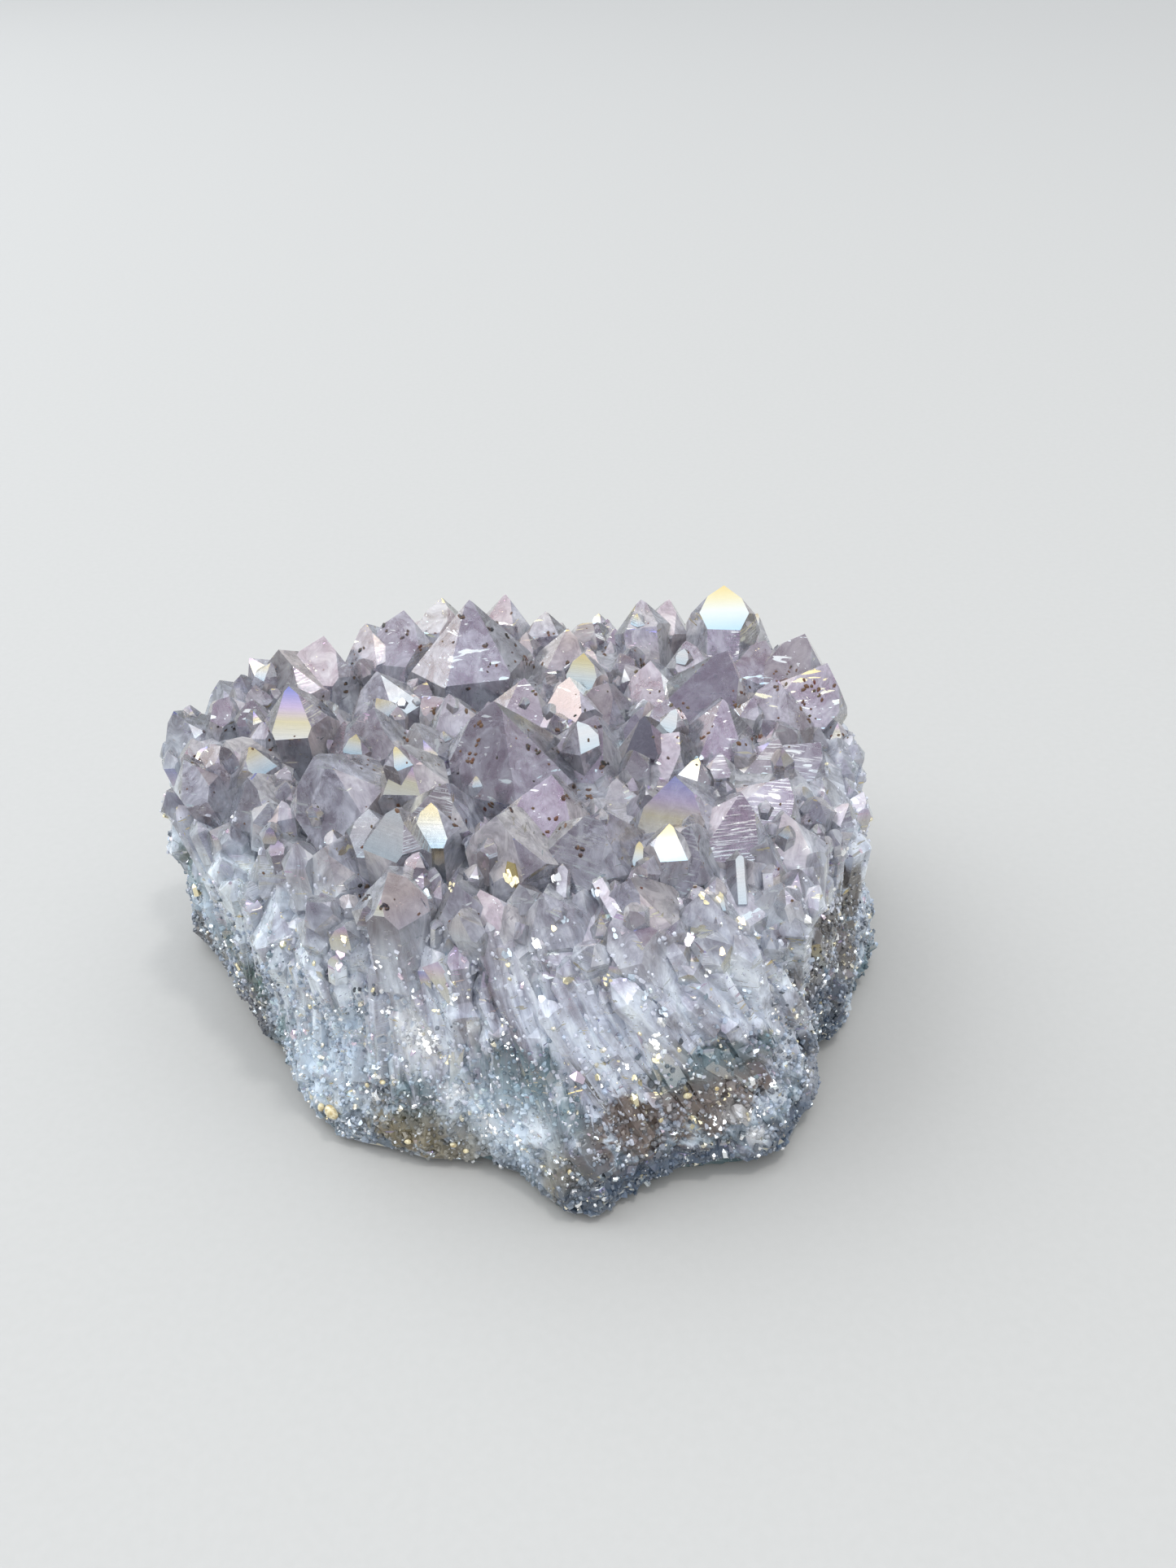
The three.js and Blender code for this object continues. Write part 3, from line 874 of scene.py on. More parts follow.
def quartzMaterial(name, thickness):
    # clear quartz and milky quartz, with a metal film on a share of each facet
    sheet = newSheet(name)
    height, side = sheet.along("Z"), sheet.along("X")
    flow = sheet.attribute("flow", "Vector")
    cloud = sheet.noise(230, 6, 0.65, 0.5)
    fine = sheet.noise(900, 4, 0.6)
    wisp = sheet.noise(1, 5, 0.7, 1.2, sheet.stretched((330, 330, 150), (0.4, 0.2, 0.7)))
    steps = sheet.noise(1, 2, 0.5, 0.3, sheet.stretched((300, 300, 6500)))
    streak = sheet.noise(0.33, 2, 0.5, 0.3, flow) * 0.6 + sheet.noise(0.95, 5, 0.6, 0.3, flow) * 0.4
    relief = sheet.bump(steps * 0.5 + fine * 0.5, 0.00006, 0.4)
    wall = sheet.range(height, 0.022, 0.035, 1.0, 0.0)
    base = sheet.range(height, 0.006, 0.013, 1.0, 0.0)

    facet = facetColour(sheet)
    mottle = sheet.ramp(cloud * 0.5 + wisp * 0.5, [
        (0.34, (0.40, 0.40, 0.47)), (0.48, (0.72, 0.73, 0.78)), (0.58, (0.96, 0.97, 1.0)), (0.68, (1, 1, 1)),
    ])
    tipColour = sheet.blend(0.85, mottle, facet, "MULTIPLY")
    # streaks along the columns, dark to white: the columns' own banding, with painted shade in the grooves
    # between them and painted highlights along them
    wallColour = sheet.ramp(streak, [
        (0.30, (0.38, 0.385, 0.47)), (0.40, (0.59, 0.615, 0.73)), (0.48, (0.75, 0.79, 0.91)),
        (0.56, (0.83, 0.88, 0.97)), (0.66, (0.91, 0.94, 0.98)),
    ])
    # the wall turns bluish white towards the left: painted light from the left, over the frosted wall's own
    # pale colour
    icy = sheet.range(side, -0.034, -0.006, 0.75, 0.15)
    wallColour = sheet.blend(icy, wallColour, rgb(0.84, 0.94, 1.0))
    wallColour = sheet.blend(0.35, wallColour, mottle, "MULTIPLY")
    milkColour = sheet.blend(wall, tipColour, wallColour)
    milkColour = sheet.blend(base, milkColour, sheet.ramp(cloud, [
        (0.40, (0.06, 0.09, 0.12)), (0.52, (0.26, 0.33, 0.39)), (0.64, (0.78, 0.86, 0.95)),
    ]))
    stain = sheet.attribute("stain", "Color")
    stained = sheet.attribute("stain", "Alpha")
    milkColour = sheet.blend(sheet.range(stained + (fine - 0.5) * 0.5, 0.25, 0.6), milkColour, stain)

    clear = sheet.surface(
        Base_Color=sheet.blend(0.7, rgb(0.97, 0.96, 1.0), facet, "MULTIPLY"),
        Roughness=sheet.range(fine, 0.35, 0.75, 0.01, 0.12), IOR=1.54,
        Transmission_Weight=1.0, Thin_Film_Thickness=thickness, Thin_Film_IOR=1.7, Normal=relief,
    )
    milk = sheet.surface(
        Base_Color=milkColour, Roughness=sheet.range(wisp, 0.3, 0.7, 0.12, 0.45), IOR=1.54,
        Subsurface_Weight=0.5, Subsurface_Radius=(1, 1, 1), Subsurface_Scale=0.0015,
        Coat_Weight=0.7, Coat_Roughness=0.06, Normal=sheet.sparkle(1500, wall * 0.5 + 0.04),
    )
    metal = sheet.surface(
        Base_Color=flashColour(sheet), Metallic=1.0, Roughness=sheet.range(fine, 0.3, 0.7, 0.08, 0.22),
        Normal=relief,
    )

    milkShare = sheet.range(height, 0.016, 0.036, 0.70, 0.34) + (wisp - 0.5) * 0.9
    milkShare = milkShare + (sheet.attribute("facetTint") - 0.5) * 0.25 + (streak - 0.48) * wall * 2.2
    milkShare = sheet.larger(milkShare.clamped(), sheet.larger(stained, base * 0.85))
    body = sheet.mixed(milkShare, clear, milk)
    share = sheet.larger(sheet.attribute("facetFilm"), glintShare(sheet, side, wall, steps))
    absorbed = {"Color": rgb(0.62, 0.62, 0.68), "Density": 20.0}
    return sheet.finish(sheet.mixed(share, body, metal), sheet.node("VolumeAbsorption", {}, absorbed))


quartzTree = treeOf(quartzMesh)

# patches of another colour near the base, with where they are seen: across, down, radius in
# millimetres
patches = [
    ("teal", [
        (635, 1318, 5.5), (900, 1296, 2.6), (700, 1372, 3), (860, 1312, 2.6), (500, 1345, 3.5),
        (945, 1278, 2.2), (820, 1330, 2),
    ]),
    ("umber", [(1000, 1085, 5), (1035, 1110, 6), (1010, 1140, 5), (1040, 1165, 5), (1005, 1185, 5)]),
    ("night", [(985, 1200, 1.5), (1022, 1190, 1.3), (1027, 1242, 1.6), (985, 1245, 1.5)]),
    ("steel", [(1012, 1268, 4), (1035, 1225, 4), (1000, 1292, 4), (1003, 1225, 3)]),
    ("bone", [
        (962, 1085, 1.8), (968, 1125, 1.8), (973, 1165, 1.8), (979, 1205, 1.8), (986, 1250, 2),
        (994, 1300, 2.4), (1000, 1340, 2.6),
    ]),
    ("pine", [(235, 1065, 4), (318, 1205, 3), (285, 1150, 2.5), (350, 1260, 2.5)]),
    ("olive", [(520, 1400, 4.5), (478, 1385, 3.5), (570, 1405, 4), (685, 1447, 4.5)]),
    ("brown", [(790, 1382, 4.5), (860, 1362, 5), (905, 1345, 4), (745, 1400, 3), (930, 1330, 2.5)]),
    ("steel", [
        (735, 1478, 2.4), (765, 1470, 2.4), (800, 1461, 2.6), (835, 1452, 2.4), (865, 1447, 2.4),
        (895, 1452, 2.4), (925, 1446, 2.6), (955, 1431, 2.6), (980, 1411, 2.4), (1000, 1385, 2.2),
        (720, 1440, 3),
    ]),
    ("night", [(620, 1440, 3)]),
    ("snow", [
        (520, 1288, 3.0), (505, 1262, 2.2), (575, 1262, 1.6), (803, 1290, 1.5), (655, 1385, 1.8),
        (605, 1385, 1.6), (560, 1345, 1.5), (905, 1370, 1.8), (930, 1400, 2),
    ]),
    ("ice", [
        (320, 1270, 6), (385, 1320, 6), (430, 1270, 6), (255, 1120, 6), (600, 1370, 6), (640, 1400, 5),
    ]),
]
patchColours = {
    "teal": (0.12, 0.19, 0.22), "umber": (0.14, 0.127, 0.12), "night": (0.02, 0.024, 0.028),
    "steel": (0.045, 0.072, 0.115), "bone": (0.58, 0.58, 0.62), "pine": (0.12, 0.20, 0.18),
    "olive": (0.19, 0.155, 0.085), "brown": (0.16, 0.12, 0.10), "snow": (0.97, 0.98, 1.0),
    "ice": (0.62, 0.72, 0.82),
}
stains = {
    "top": 29,                  # no patch lies above this, millimetres
    "edge": 1.4,                # longest edge of the stained faces
    "rimHeight": 5.2,           # the dark blue rim at the foot of the front right
    "rimBearings": (-84, -22),  # degrees
    "rimStrength": 8,
    "falloff": 1.6,             # how quickly a patch ends
    "fade": 9,                  # they all fade out over this height under the top
    "hidden": 34,               # patches on the sides and the back
    "hiddenBearings": (-8, 215),
    "hiddenHeights": (1, 12),
    "hiddenRadius": (1.5, 4.5),
    "hiddenColours": ["teal", "teal", "umber", "steel", "ice", "ice", "olive", "brown", "snow"],
}


def placedPatches():
    placed = []
    for colour, places in patches:
        for across, down, radius in places:
            place = seenAt(quartzTree, across, down)[0]
            if place is not None:
                placed.append((place, radius * mm, Vector(patchColours[colour])))
    chance = random.Random(3)
    wanted = sum(len(places) for _, places in patches) + stains["hidden"]
    while len(placed) < wanted:
        bearing = chance.uniform(*stains["hiddenBearings"])
        place, _ = wallHit(quartzTree, bearing, chance.uniform(*stains["hiddenHeights"]))
        if place is not None:
            colour = Vector(patchColours[chance.choice(stains["hiddenColours"])])
            placed.append((place, chance.uniform(*stains["hiddenRadius"]) * mm, colour))
    return placed


patchPlaces = placedPatches()


def stainAt(place):
    # colour of the patches at a place, and how strong it is
    colour, weight = Vector((0, 0, 0)), 0
    if place.z > stains["top"] * mm:
        return (0.5, 0.5, 0.5), 0
    bearing = math.degrees(math.atan2(place.y, place.x))
    first, last = stains["rimBearings"]
    if place.z < stains["rimHeight"] * mm and first < bearing < last:
        near = stains["rimStrength"] * (1 - place.z / mm / stains["rimHeight"])
        colour += Vector(patchColours["steel"]) * near
        weight += near
    for middle, radius, patchColour in patchPlaces:
        away = (place - middle).length / radius
        if away < 2:
            near = math.exp(-away ** 2 * stains["falloff"])
            colour += patchColour * near
            weight += near
    if weight < 0.02:
        return (0.5, 0.5, 0.5), 0
    edge = 1 + 1.3 * noise.fractal(place / mm * 0.4, 0.7, 2.2, 4)
    fade = (stains["top"] - place.z / mm) / stains["fade"]
    return tuple(colour / weight), min(1, max(0, min(1, fade) * weight * edge))


def halveStained(mesh):
    # the blades' long faces are cut up low on the wall, so that the stains keep their outlines on them
    work = bmesh.new()
    work.from_mesh(mesh)
    top = stains["top"] * mm
    makeFiner(work, lambda face: min(vertex.co.z for vertex in face.verts) < top, stains["edge"] * mm)
    work.to_mesh(mesh)
    work.free()


def markCorners(mesh):
    # stains of the base, and coordinates that run along the columns of the wall
    colours, flows = [], []
    for vertex in mesh.vertices:
        colour, share = stainAt(vertex.co)
        colours.append((*colour, share))
        bearing = math.atan2(vertex.co.y, vertex.co.x)
        upright = vertex.co.z / mm
        drift = math.tan(slantAt(math.degrees(bearing))) * upright
        across, inward = math.cos(bearing) * crust["around"], math.sin(bearing) * crust["around"]
        flows.append((across - drift, inward, upright * 0.16))
    addAttribute(mesh, "stain", "FLOAT_COLOR", "POINT", "color", colours)
    addAttribute(mesh, "flow", "FLOAT_VECTOR", "POINT", "vector", flows)


print("facets:", markFacets(quartzMesh))
halveStained(quartzMesh)
markCorners(quartzMesh)
quartzFilms = [quartzMaterial(name, thickness) for name, thickness in filmThickness.items()]
addPiece("lilacQuartzCrust", quartzMesh, quartzFilms, "quartz_cluster", isSmooth=False)
print("quartz dressed:", len(quartzMesh.polygons), "faces")


cloudyQuartz = {
    "grain": 0.9,     # millimetres between its corners
    "depth": 2.4,     # how far it lies under the surface
    "nearest": 1.1,   # and at least this far
    "smoothing": 2,   # passes
}


def cloudMaterial():
    sheet = newSheet("cloudyQuartz")
    cloud = sheet.noise(330, 6, 0.65, 0.8)
    streak = sheet.noise(1, 4, 0.6, 0.5, sheet.stretched((800, 800, 150)))
    tone = cloud * 0.6 + streak * 0.4
    low = sheet.ramp(tone, [
        (0.38, (0.18, 0.21, 0.26)), (0.5, (0.55, 0.61, 0.69)), (0.6, (0.95, 0.98, 1.0)),
    ])
    high = sheet.ramp(tone, [
        (0.38, (0.17, 0.17, 0.22)), (0.5, (0.45, 0.45, 0.51)), (0.6, (0.92, 0.93, 1.0)),
    ])
    colour = sheet.blend(sheet.range(sheet.along("Z"), 0.012, 0.03), low, high)
    return sheet.finish(sheet.surface(Base_Color=colour, Roughness=0.55))


def makeCloudyQuartz():
    base = linked("base", meshOf(closedCopy(frame["nodes"]["quartz_cluster"]), "cloudy"))
    remesh = base.modifiers.new("remesh", "REMESH")
    remesh.mode = "VOXEL"
    remesh.voxel_size = cloudyQuartz["grain"] * mm
    inner = finalMesh(base)
    work = bmesh.new()
    work.from_mesh(inner)
    work.normal_update()
    for vertex in work.verts:
        vertex.co -= vertex.normal * cloudyQuartz["depth"] * mm
    for _ in range(cloudyQuartz["smoothing"]):
        bmesh.ops.smooth_vert(
            work, verts=work.verts, factor=0.5, use_axis_x=True, use_axis_y=True, use_axis_z=True,
        )
    for vertex in work.verts:
        surface, outward, _, _ = quartzTree.find_nearest(vertex.co)
        depth = (surface - vertex.co).dot(outward)
        if depth < cloudyQuartz["nearest"] * mm:
            vertex.co = surface - outward * cloudyQuartz["nearest"] * mm
    work.to_mesh(inner)
    work.free()
    addPiece("cloudyQuartz", inner, [cloudMaterial()], isSmooth=True)
    return len(inner.polygons)


print("cloudy quartz:", makeCloudyQuartz(), "faces")


hostRock = {
    "edge": 1.1,        # longest edge after it is made finer, millimetres
    "roughness": 0.35,  # height of its relief
    "keptFlat": 0.15,   # nothing moves under this height, so that it rests as before
    "top": 2.5,         # or above this, where the crust covers it
}


def rockMaterial():
    sheet = newSheet("tealRock")
    mottle = sheet.noise(260, 5, 0.6)
    grain = sheet.noise(2200, 3, 0.6)
    colour = sheet.ramp(mottle, [
        (0.3, (0.03, 0.05, 0.055)), (0.5, (0.07, 0.12, 0.13)), (0.62, (0.16, 0.21, 0.22)),
        (0.75, (0.4, 0.43, 0.43)),
    ])
    colour = sheet.blend(grain > 0.62, colour, rgb(0.55, 0.6, 0.6))
    shader = sheet.surface(
        Base_Color=colour, Roughness=sheet.range(grain, 0.3, 0.7, 0.45, 0.85),
        Normal=sheet.bump(grain * 0.6 + mottle * 0.4, 0.0003, 0.6),
    )
    return sheet.finish(shader)


def makeRock():
    work = closedCopy(frame["nodes"]["matrix_rind"])
    makeFiner(work, lambda face: abs(face.normal.z) < 0.9, hostRock["edge"] * mm)
    work.normal_update()
    for vertex in work.verts:
        if hostRock["keptFlat"] * mm < vertex.co.z < hostRock["top"] * mm:
            rough = noise.fractal(vertex.co / mm * 0.9, 0.7, 2.1, 4)
            vertex.co += vertex.normal * rough * hostRock["roughness"] * mm
    addPiece("tealHostRock", meshOf(work, "tealRock"), [rockMaterial()], "matrix_rind")


makeRock()
print("host rock ready")


druse = {
    "grains": 9500,
    "halfWidth": (0.1, 0.42),   # millimetres
    "lowest": 0.8,
    "bandTop": 12,              # dense up to here, then thinning out
    "thinTop": 24,
    "speckled": [(-45, 25), (185, 240)],    # bearings where more of the thin ones are left
    "leftThere": 0.7,
    "leftElsewhere": 0.2,
    "splay": 0.6,               # spread of their lean
    "innermost": 0.02,          # a hit nearer to the middle isn't the wall; metres, as the next two
    "clearance": 0.0006,        # no grain's lower edge comes below this
    "flatFoot": 0.0001,         # and no corner of one below this
    "mirrors": 0.14,            # share of grains with a bright metal film
    "mirrorColours": [(1, 1, 1), (0.9, 0.97, 1), (0.95, 0.98, 1), (1, 0.93, 0.75)],
    "icy": (0.62, 0.71, 0.85),
    "dark": (0.20, 0.27, 0.31),
    "darkFrom": 0.15,           # where the noise passes this, they turn dark
}


def druseMaterial():
    sheet = newSheet("drusySparkle")
    colour = sheet.attribute("grainColour", "Color")
    mirror = sheet.attribute("grainColour", "Alpha")
    fine = sheet.noise(1500, 2)
    body = sheet.surface(
        Base_Color=colour, Roughness=sheet.range(fine, 0.3, 0.7, 0.06, 0.3), IOR=1.54, Metallic=mirror,
        Transmission_Weight=0.3, Coat_Weight=0.8, Coat_Roughness=0.04,
    )
    return sheet.finish(body)


def druseColour(place, chance):
    # icy white and grey, stained as the crust is, with a few golden and white mirrors
    colour = Vector(druse["icy"]) * chance.uniform(0.1, 1.08)
    patch = noise.noise(place / mm * 0.2)
    if patch > druse["darkFrom"]:
        near = min(1, (patch - druse["darkFrom"]) * 4)
        colour = colour.lerp(Vector(druse["dark"]), near * chance.uniform(0.2, 1))
    stain, share = stainAt(place)
    colour = colour.lerp(Vector(stain) * chance.uniform(0.6, 1.9), share * chance.uniform(0.65, 1))
    colour *= 1 + 0.5 * noise.noise(place / mm * 0.45)
    if chance.random() < druse["mirrors"]:
        return (*chance.choice(druse["mirrorColours"]), 1)
    return (*[min(1, max(0, part)) for part in colour], 0)


def druseGrain(chance, place, axis, halfWidth, depth=1.2):
    # a stubby uneven point with an open root, which lies at a depth in half widths
    sides = chance.choice([5, 6])
    spin = chance.uniform(0, fullTurn)
    shoulder = chance.uniform(0.2, 0.9)
    root, ring = [], []
    for side in range(sides):
        turn = spin + fullTurn * (side + chance.uniform(-0.2, 0.2)) / sides
        reach = chance.uniform(0.75, 1.1)
        root.append((math.cos(turn) * reach, math.sin(turn) * reach, -depth))
        ring.append((math.cos(turn) * reach, math.sin(turn) * reach, shoulder + chance.uniform(-0.25, 0.25)))
    apex = (chance.uniform(-0.4, 0.4), chance.uniform(-0.4, 0.4), shoulder + chance.uniform(0.5, 1))
    corners = np.array([*root, *ring, apex]) * halfWidth
    turned = np.array(axis.to_track_quat("Z", "Y").to_matrix())
    faces = []
    for side in range(sides):
        after = (side + 1) % sides
        faces.append([side, after, sides + after, sides + side])
        faces.append([sides + side, sides + after, 2 * sides])
    return corners @ turned.T + np.array(place), faces


def makeDruse():
    chance = random.Random(77)
    parts, colours = [], []
    while len(parts) < druse["grains"]:
        bearing = chance.uniform(-180, 180)
        height = chance.uniform(druse["lowest"], druse["thinTop"])
        if height > druse["bandTop"]:
            thinning = (druse["thinTop"] - height) / (druse["thinTop"] - druse["bandTop"])
            isSpeckled = any(low < (bearing - low) % 360 + low < high for low, high in druse["speckled"])
            wanted = thinning * druse["leftThere" if isSpeckled else "leftElsewhere"]
        else:
            wanted = 1
        place, normal = wallHit(quartzTree, bearing, height)
        if place is None or place.length < druse["innermost"]:
            continue
        if chance.random() > max(wanted, stainAt(place)[1] * 0.8):
            continue
        axis = (normal + scattered(chance, druse["splay"])).normalized()
        halfWidth = chance.uniform(*druse["halfWidth"]) * mm * chance.uniform(0.6, 1)
        if place.z < druse["clearance"] + halfWidth:
            continue
        corners, faces = druseGrain(chance, place, axis, halfWidth)
        corners[:, 2] = np.maximum(corners[:, 2], druse["flatFoot"])
        parts.append((corners, faces))
        colours.append(druseColour(place, chance))
    return addPainted("drusyBand", parts, colours, "grainColour", druseMaterial())


print("drusy band:", makeDruse(), "faces")


splinters = {
    "count": 2600,
    "halfWidth": (0.08, 0.3),   # millimetres
    "length": (0.7, 1.8),       # in widths
    "heights": (7, 30),
    "steepest": 0.7,            # where the wall leans more than this, there are none
    "lean": 25,                 # spread of their lean, degrees
    "mirrors": 0.16,
    "mirrorSizes": [1, 1, 1, 1, 1, 2.2],
    "mirrorColours": [(1, 1, 1), (0.85, 0.95, 1), (1, 0.9, 0.6), (1, 0.84, 0.95)],
}

# bright chips of the wall, turned to the front, by where they are seen: across, down, spread, count,
# half width in millimetres, colour
wallGlints = [
    (417, 1172, 2, 2, 0.7, "pink"), (422, 1153, 3, 3, 0.4, "gold"), (416, 1188, 2, 2, 0.5, "pink"),
    (465, 1184, 7, 4, 0.35, "white"), (440, 1243, 3, 2, 0.35, "white"), (476, 1245, 8, 6, 0.3, "white"),
    (508, 1223, 4, 3, 0.3, "white"), (552, 1230, 8, 6, 0.4, "white"), (536, 1243, 3, 2, 0.35, "gold"),
    (526, 1282, 11, 16, 0.45, "white"), (545, 1298, 8, 6, 0.35, "gold"), (516, 1265, 5, 3, 0.35, "white"),
    (622, 1172, 3, 3, 0.6, "icy"), (624, 1183, 2, 2, 0.4, "gold"), (661, 1157, 4, 3, 0.6, "white"),
    (681, 1139, 2, 2, 0.5, "gold"), (695, 1133, 4, 3, 0.3, "icy"), (732, 1098, 4, 3, 0.6, "icy"),
    (757, 1145, 3, 2, 0.4, "icy"), (745, 1202, 5, 5, 0.3, "gold"), (777, 1200, 4, 3, 0.6, "icy"),
    (795, 1224, 5, 3, 0.45, "icy"), (815, 1243, 6, 4, 0.4, "icy"), (773, 1225, 1, 1, 0.4, "white"),
    (885, 1172, 2, 2, 0.5, "gold"), (868, 1194, 3, 3, 0.45, "white"), (911, 1135, 3, 3, 0.6, "gold"),
    (927, 1145, 2, 2, 0.35, "icy"), (840, 1204, 1, 1, 0.3, "white"), (937, 1205, 3, 2, 0.3, "white"),
    (917, 1216, 5, 3, 0.35, "icy"), (803, 1278, 5, 8, 0.5, "white"), (806, 1299, 4, 5, 0.5, "gold"),
    (770, 1308, 4, 3, 0.35, "white"), (735, 1323, 4, 3, 0.35, "gold"), (782, 1325, 6, 4, 0.35, "gold"),
    (738, 1337, 2, 1, 0.35, "white"), (849, 1150, 3, 2, 0.35, "icy"), (552, 1194, 1, 1, 0.3, "white"),
    (630, 1280, 14, 8, 0.25, "white"), (948, 1330, 2, 2, 0.4, "white"), (890, 1345, 6, 4, 0.3, "gold"),
    (925, 1360, 12, 8, 0.3, "white"), (855, 1372, 9, 6, 0.4, "gold"), (880, 1385, 10, 7, 0.4, "white"),
    (610, 1385, 18, 14, 0.3, "white"), (440, 1390, 14, 8, 0.4, "icy"), (405, 1368, 5, 4, 0.4, "gold"),
    (626, 1078, 6, 9, 0.6, "gold"), (523, 1096, 3, 3, 0.45, "icy"), (556, 1092, 5, 4, 0.3, "gold"),
    (683, 1079, 3, 3, 0.5, "white"), (866, 1105, 6, 4, 0.45, "gold"), (884, 1105, 4, 3, 0.5, "gold"),
]
glintColours = {
    "white": (1, 1, 1), "icy": (0.62, 0.7, 0.78), "gold": (1, 0.88, 0.56), "pink": (1, 0.8, 0.93),
}
chip = {
    "tilt": 0.09,           # spread of their lean
    "tall": 1.4,            # how much longer than wide
    "levels": (0.2, -1.5),  # of the face and the root, in half widths
    "size": (0.6, 1),
    "shade": (0.5, 1),
}


def brightChip(chance, place, halfWidth):
    # a flat uneven chip with an open root, longer upwards, turned to the key light
    axis = (toLight + scattered(chance, chip["tilt"])).normalized()
    outline = []
    for side in range(6):
        turn = side + chance.uniform(-0.3, 0.3)
        reach = chance.uniform(0.5, 1)
        across, along = math.cos(turn * math.pi / 3) * reach, math.sin(turn * math.pi / 3) * reach
        outline.append((across, along * chip["tall"]))
    corners = np.array([(*corner, level) for level in chip["levels"] for corner in outline]) * halfWidth
    lean = Matrix.Rotation(-slantAt(math.degrees(math.atan2(place.y, place.x))), 3, "Z")
    turned = axis.to_track_quat("Z", "Y").to_matrix() @ lean
    sides = [[side + 6, (side + 1) % 6 + 6, (side + 1) % 6, side] for side in range(6)]
    return corners @ np.array(turned).T + np.array(place), [list(range(6)), *sides]


def placedGlints():
    chance = random.Random(23)
    parts, colours = [], []
    for across, down, spread, count, halfWidth, colour in wallGlints:
        for _ in range(count):
            seen = (across + chance.gauss(0, spread * 0.5), down + chance.gauss(0, spread * 0.7))
            place = seenAt(quartzTree, *seen)[0]
            if place is not None:
                parts.append(brightChip(chance, place, halfWidth * chance.uniform(*chip["size"]) * mm))
                colours.append((*Vector(glintColours[colour]) * chance.uniform(*chip["shade"]), 1))
    return parts, colours


def makeSplinters():
    # chips that lie along the columns of the wall
    chance = random.Random(19)
    parts, colours = [], []
    while len(parts) < splinters["count"]:
        bearing = chance.uniform(-180, 180)
        place, normal = wallHit(quartzTree, bearing, chance.uniform(*splinters["heights"]))
        if place is None or abs(normal.z) > splinters["steepest"]:
            continue
        along = Vector((0, 0, 1)).cross(normal).normalized()
        lean = slantAt(bearing) + math.radians(chance.gauss(0, splinters["lean"]))
        axis = normal.cross(along) * math.cos(lean) + along * math.sin(lean)
        axis += normal * chance.uniform(0.0, 0.5)
        halfWidth = chance.uniform(*splinters["halfWidth"]) * mm
        reach = chance.uniform(*splinters["length"])
        if chance.random() < splinters["mirrors"]:
            halfWidth *= chance.choice(splinters["mirrorSizes"])
            colours.append((*chance.choice(splinters["mirrorColours"]), 1))
        else:
            shade = chance.uniform(0.6, 1.0)
            colours.append((0.88 * shade, 0.9 * shade, shade, 0))
        parts.append(druseGrain(chance, place, axis.normalized(), halfWidth, reach))
    brightParts, brightColours = placedGlints()
    parts += brightParts
    colours += brightColours
    return addPainted("wallSplinters", parts, colours, "grainColour", druseMaterial())


print("splinters:", makeSplinters(), "faces")


# clusters of specks, by where they are seen: across, down, spread, count, and their tone
speckClusters = [
    (568, 760, 5, 3, "black"), (534, 783, 5, 2, "brown"), (513, 794, 6, 3, "brown"),
    (555, 789, 3, 1, "black"), (600, 768, 7, 4, "black"), (598, 795, 5, 3, "black"),
    (601, 820, 6, 3, "black"), (614, 818, 3, 1, "brown"), (624, 781, 5, 2, "black"),
    (632, 794, 3, 1, "black"), (645, 806, 9, 8, "brown"), (658, 818, 7, 5, "brown"),
    (576, 846, 3, 1, "black"), (655, 852, 5, 2, "green"), (472, 773, 5, 2, "black"),
    (500, 780, 7, 3, "black"), (448, 797, 4, 2, "black"), (677, 778, 6, 3, "brown"),
    (697, 815, 3, 2, "black"), (533, 872, 7, 4, "brown"), (578, 870, 8, 4, "brown"),
    (588, 893, 7, 4, "brown"), (587, 912, 5, 2, "brown"), (576, 931, 12, 8, "brown"),
    (636, 905, 4, 1, "brown"), (648, 918, 3, 2, "black"), (687, 900, 4, 2, "black"),
    (664, 922, 6, 3, "black"), (680, 925, 5, 2, "black"), (670, 938, 3, 1, "brown"),
    (704, 966, 4, 2, "black"), (735, 893, 5, 3, "black"), (740, 940, 5, 3, "black"),
    (725, 975, 8, 5, "brown"), (700, 982, 7, 4, "brown"), (628, 996, 4, 2, "black"),
    (484, 996, 6, 3, "brown"), (540, 965, 4, 1, "green"), (745, 800, 12, 5, "brown"),
    (790, 815, 12, 6, "brown"), (835, 870, 12, 5, "brown"), (870, 905, 10, 5, "brown"),
    (905, 860, 18, 8, "brown"), (960, 830, 22, 14, "brown"), (1000, 850, 22, 12, "brown"),
    (985, 880, 18, 8, "brown"), (930, 905, 12, 5, "brown"), (1030, 900, 14, 6, "brown"),
    (560, 1010, 14, 6, "black"), (600, 990, 12, 4, "brown"), (680, 1015, 14, 6, "brown"),
    (715, 1045, 10, 4, "black"), (455, 1100, 12, 7, "black"), (470, 1115, 8, 4, "black"),
    (330, 905, 12, 4, "brown"), (280, 900, 14, 4, "black"), (402, 865, 12, 5, "black"),
    (430, 845, 10, 4, "black"), (240, 935, 10, 3, "brown"), (500, 905, 10, 3, "brown"),
]
speckTones = {"black": (0.018, 0.015, 0.016), "brown": (0.085, 0.038, 0.016), "green": (0.08, 0.09, 0.035)}
specks = {
    "size": (0.12, 0.28),  # radius, millimetres
    "blackSize": 1.15,     # the black ones are larger by this
    "scattered": 260,      # single ones, all round the tips
    "scatteredSize": 0.7,
    "oval": (0.043, 0.85),  # they lie within this reach in metres, less deep than wide
    "lowest": 26,          # but none of those lower than this
    "flatness": 0.45,
    "shade": (0.6, 1.4),
}


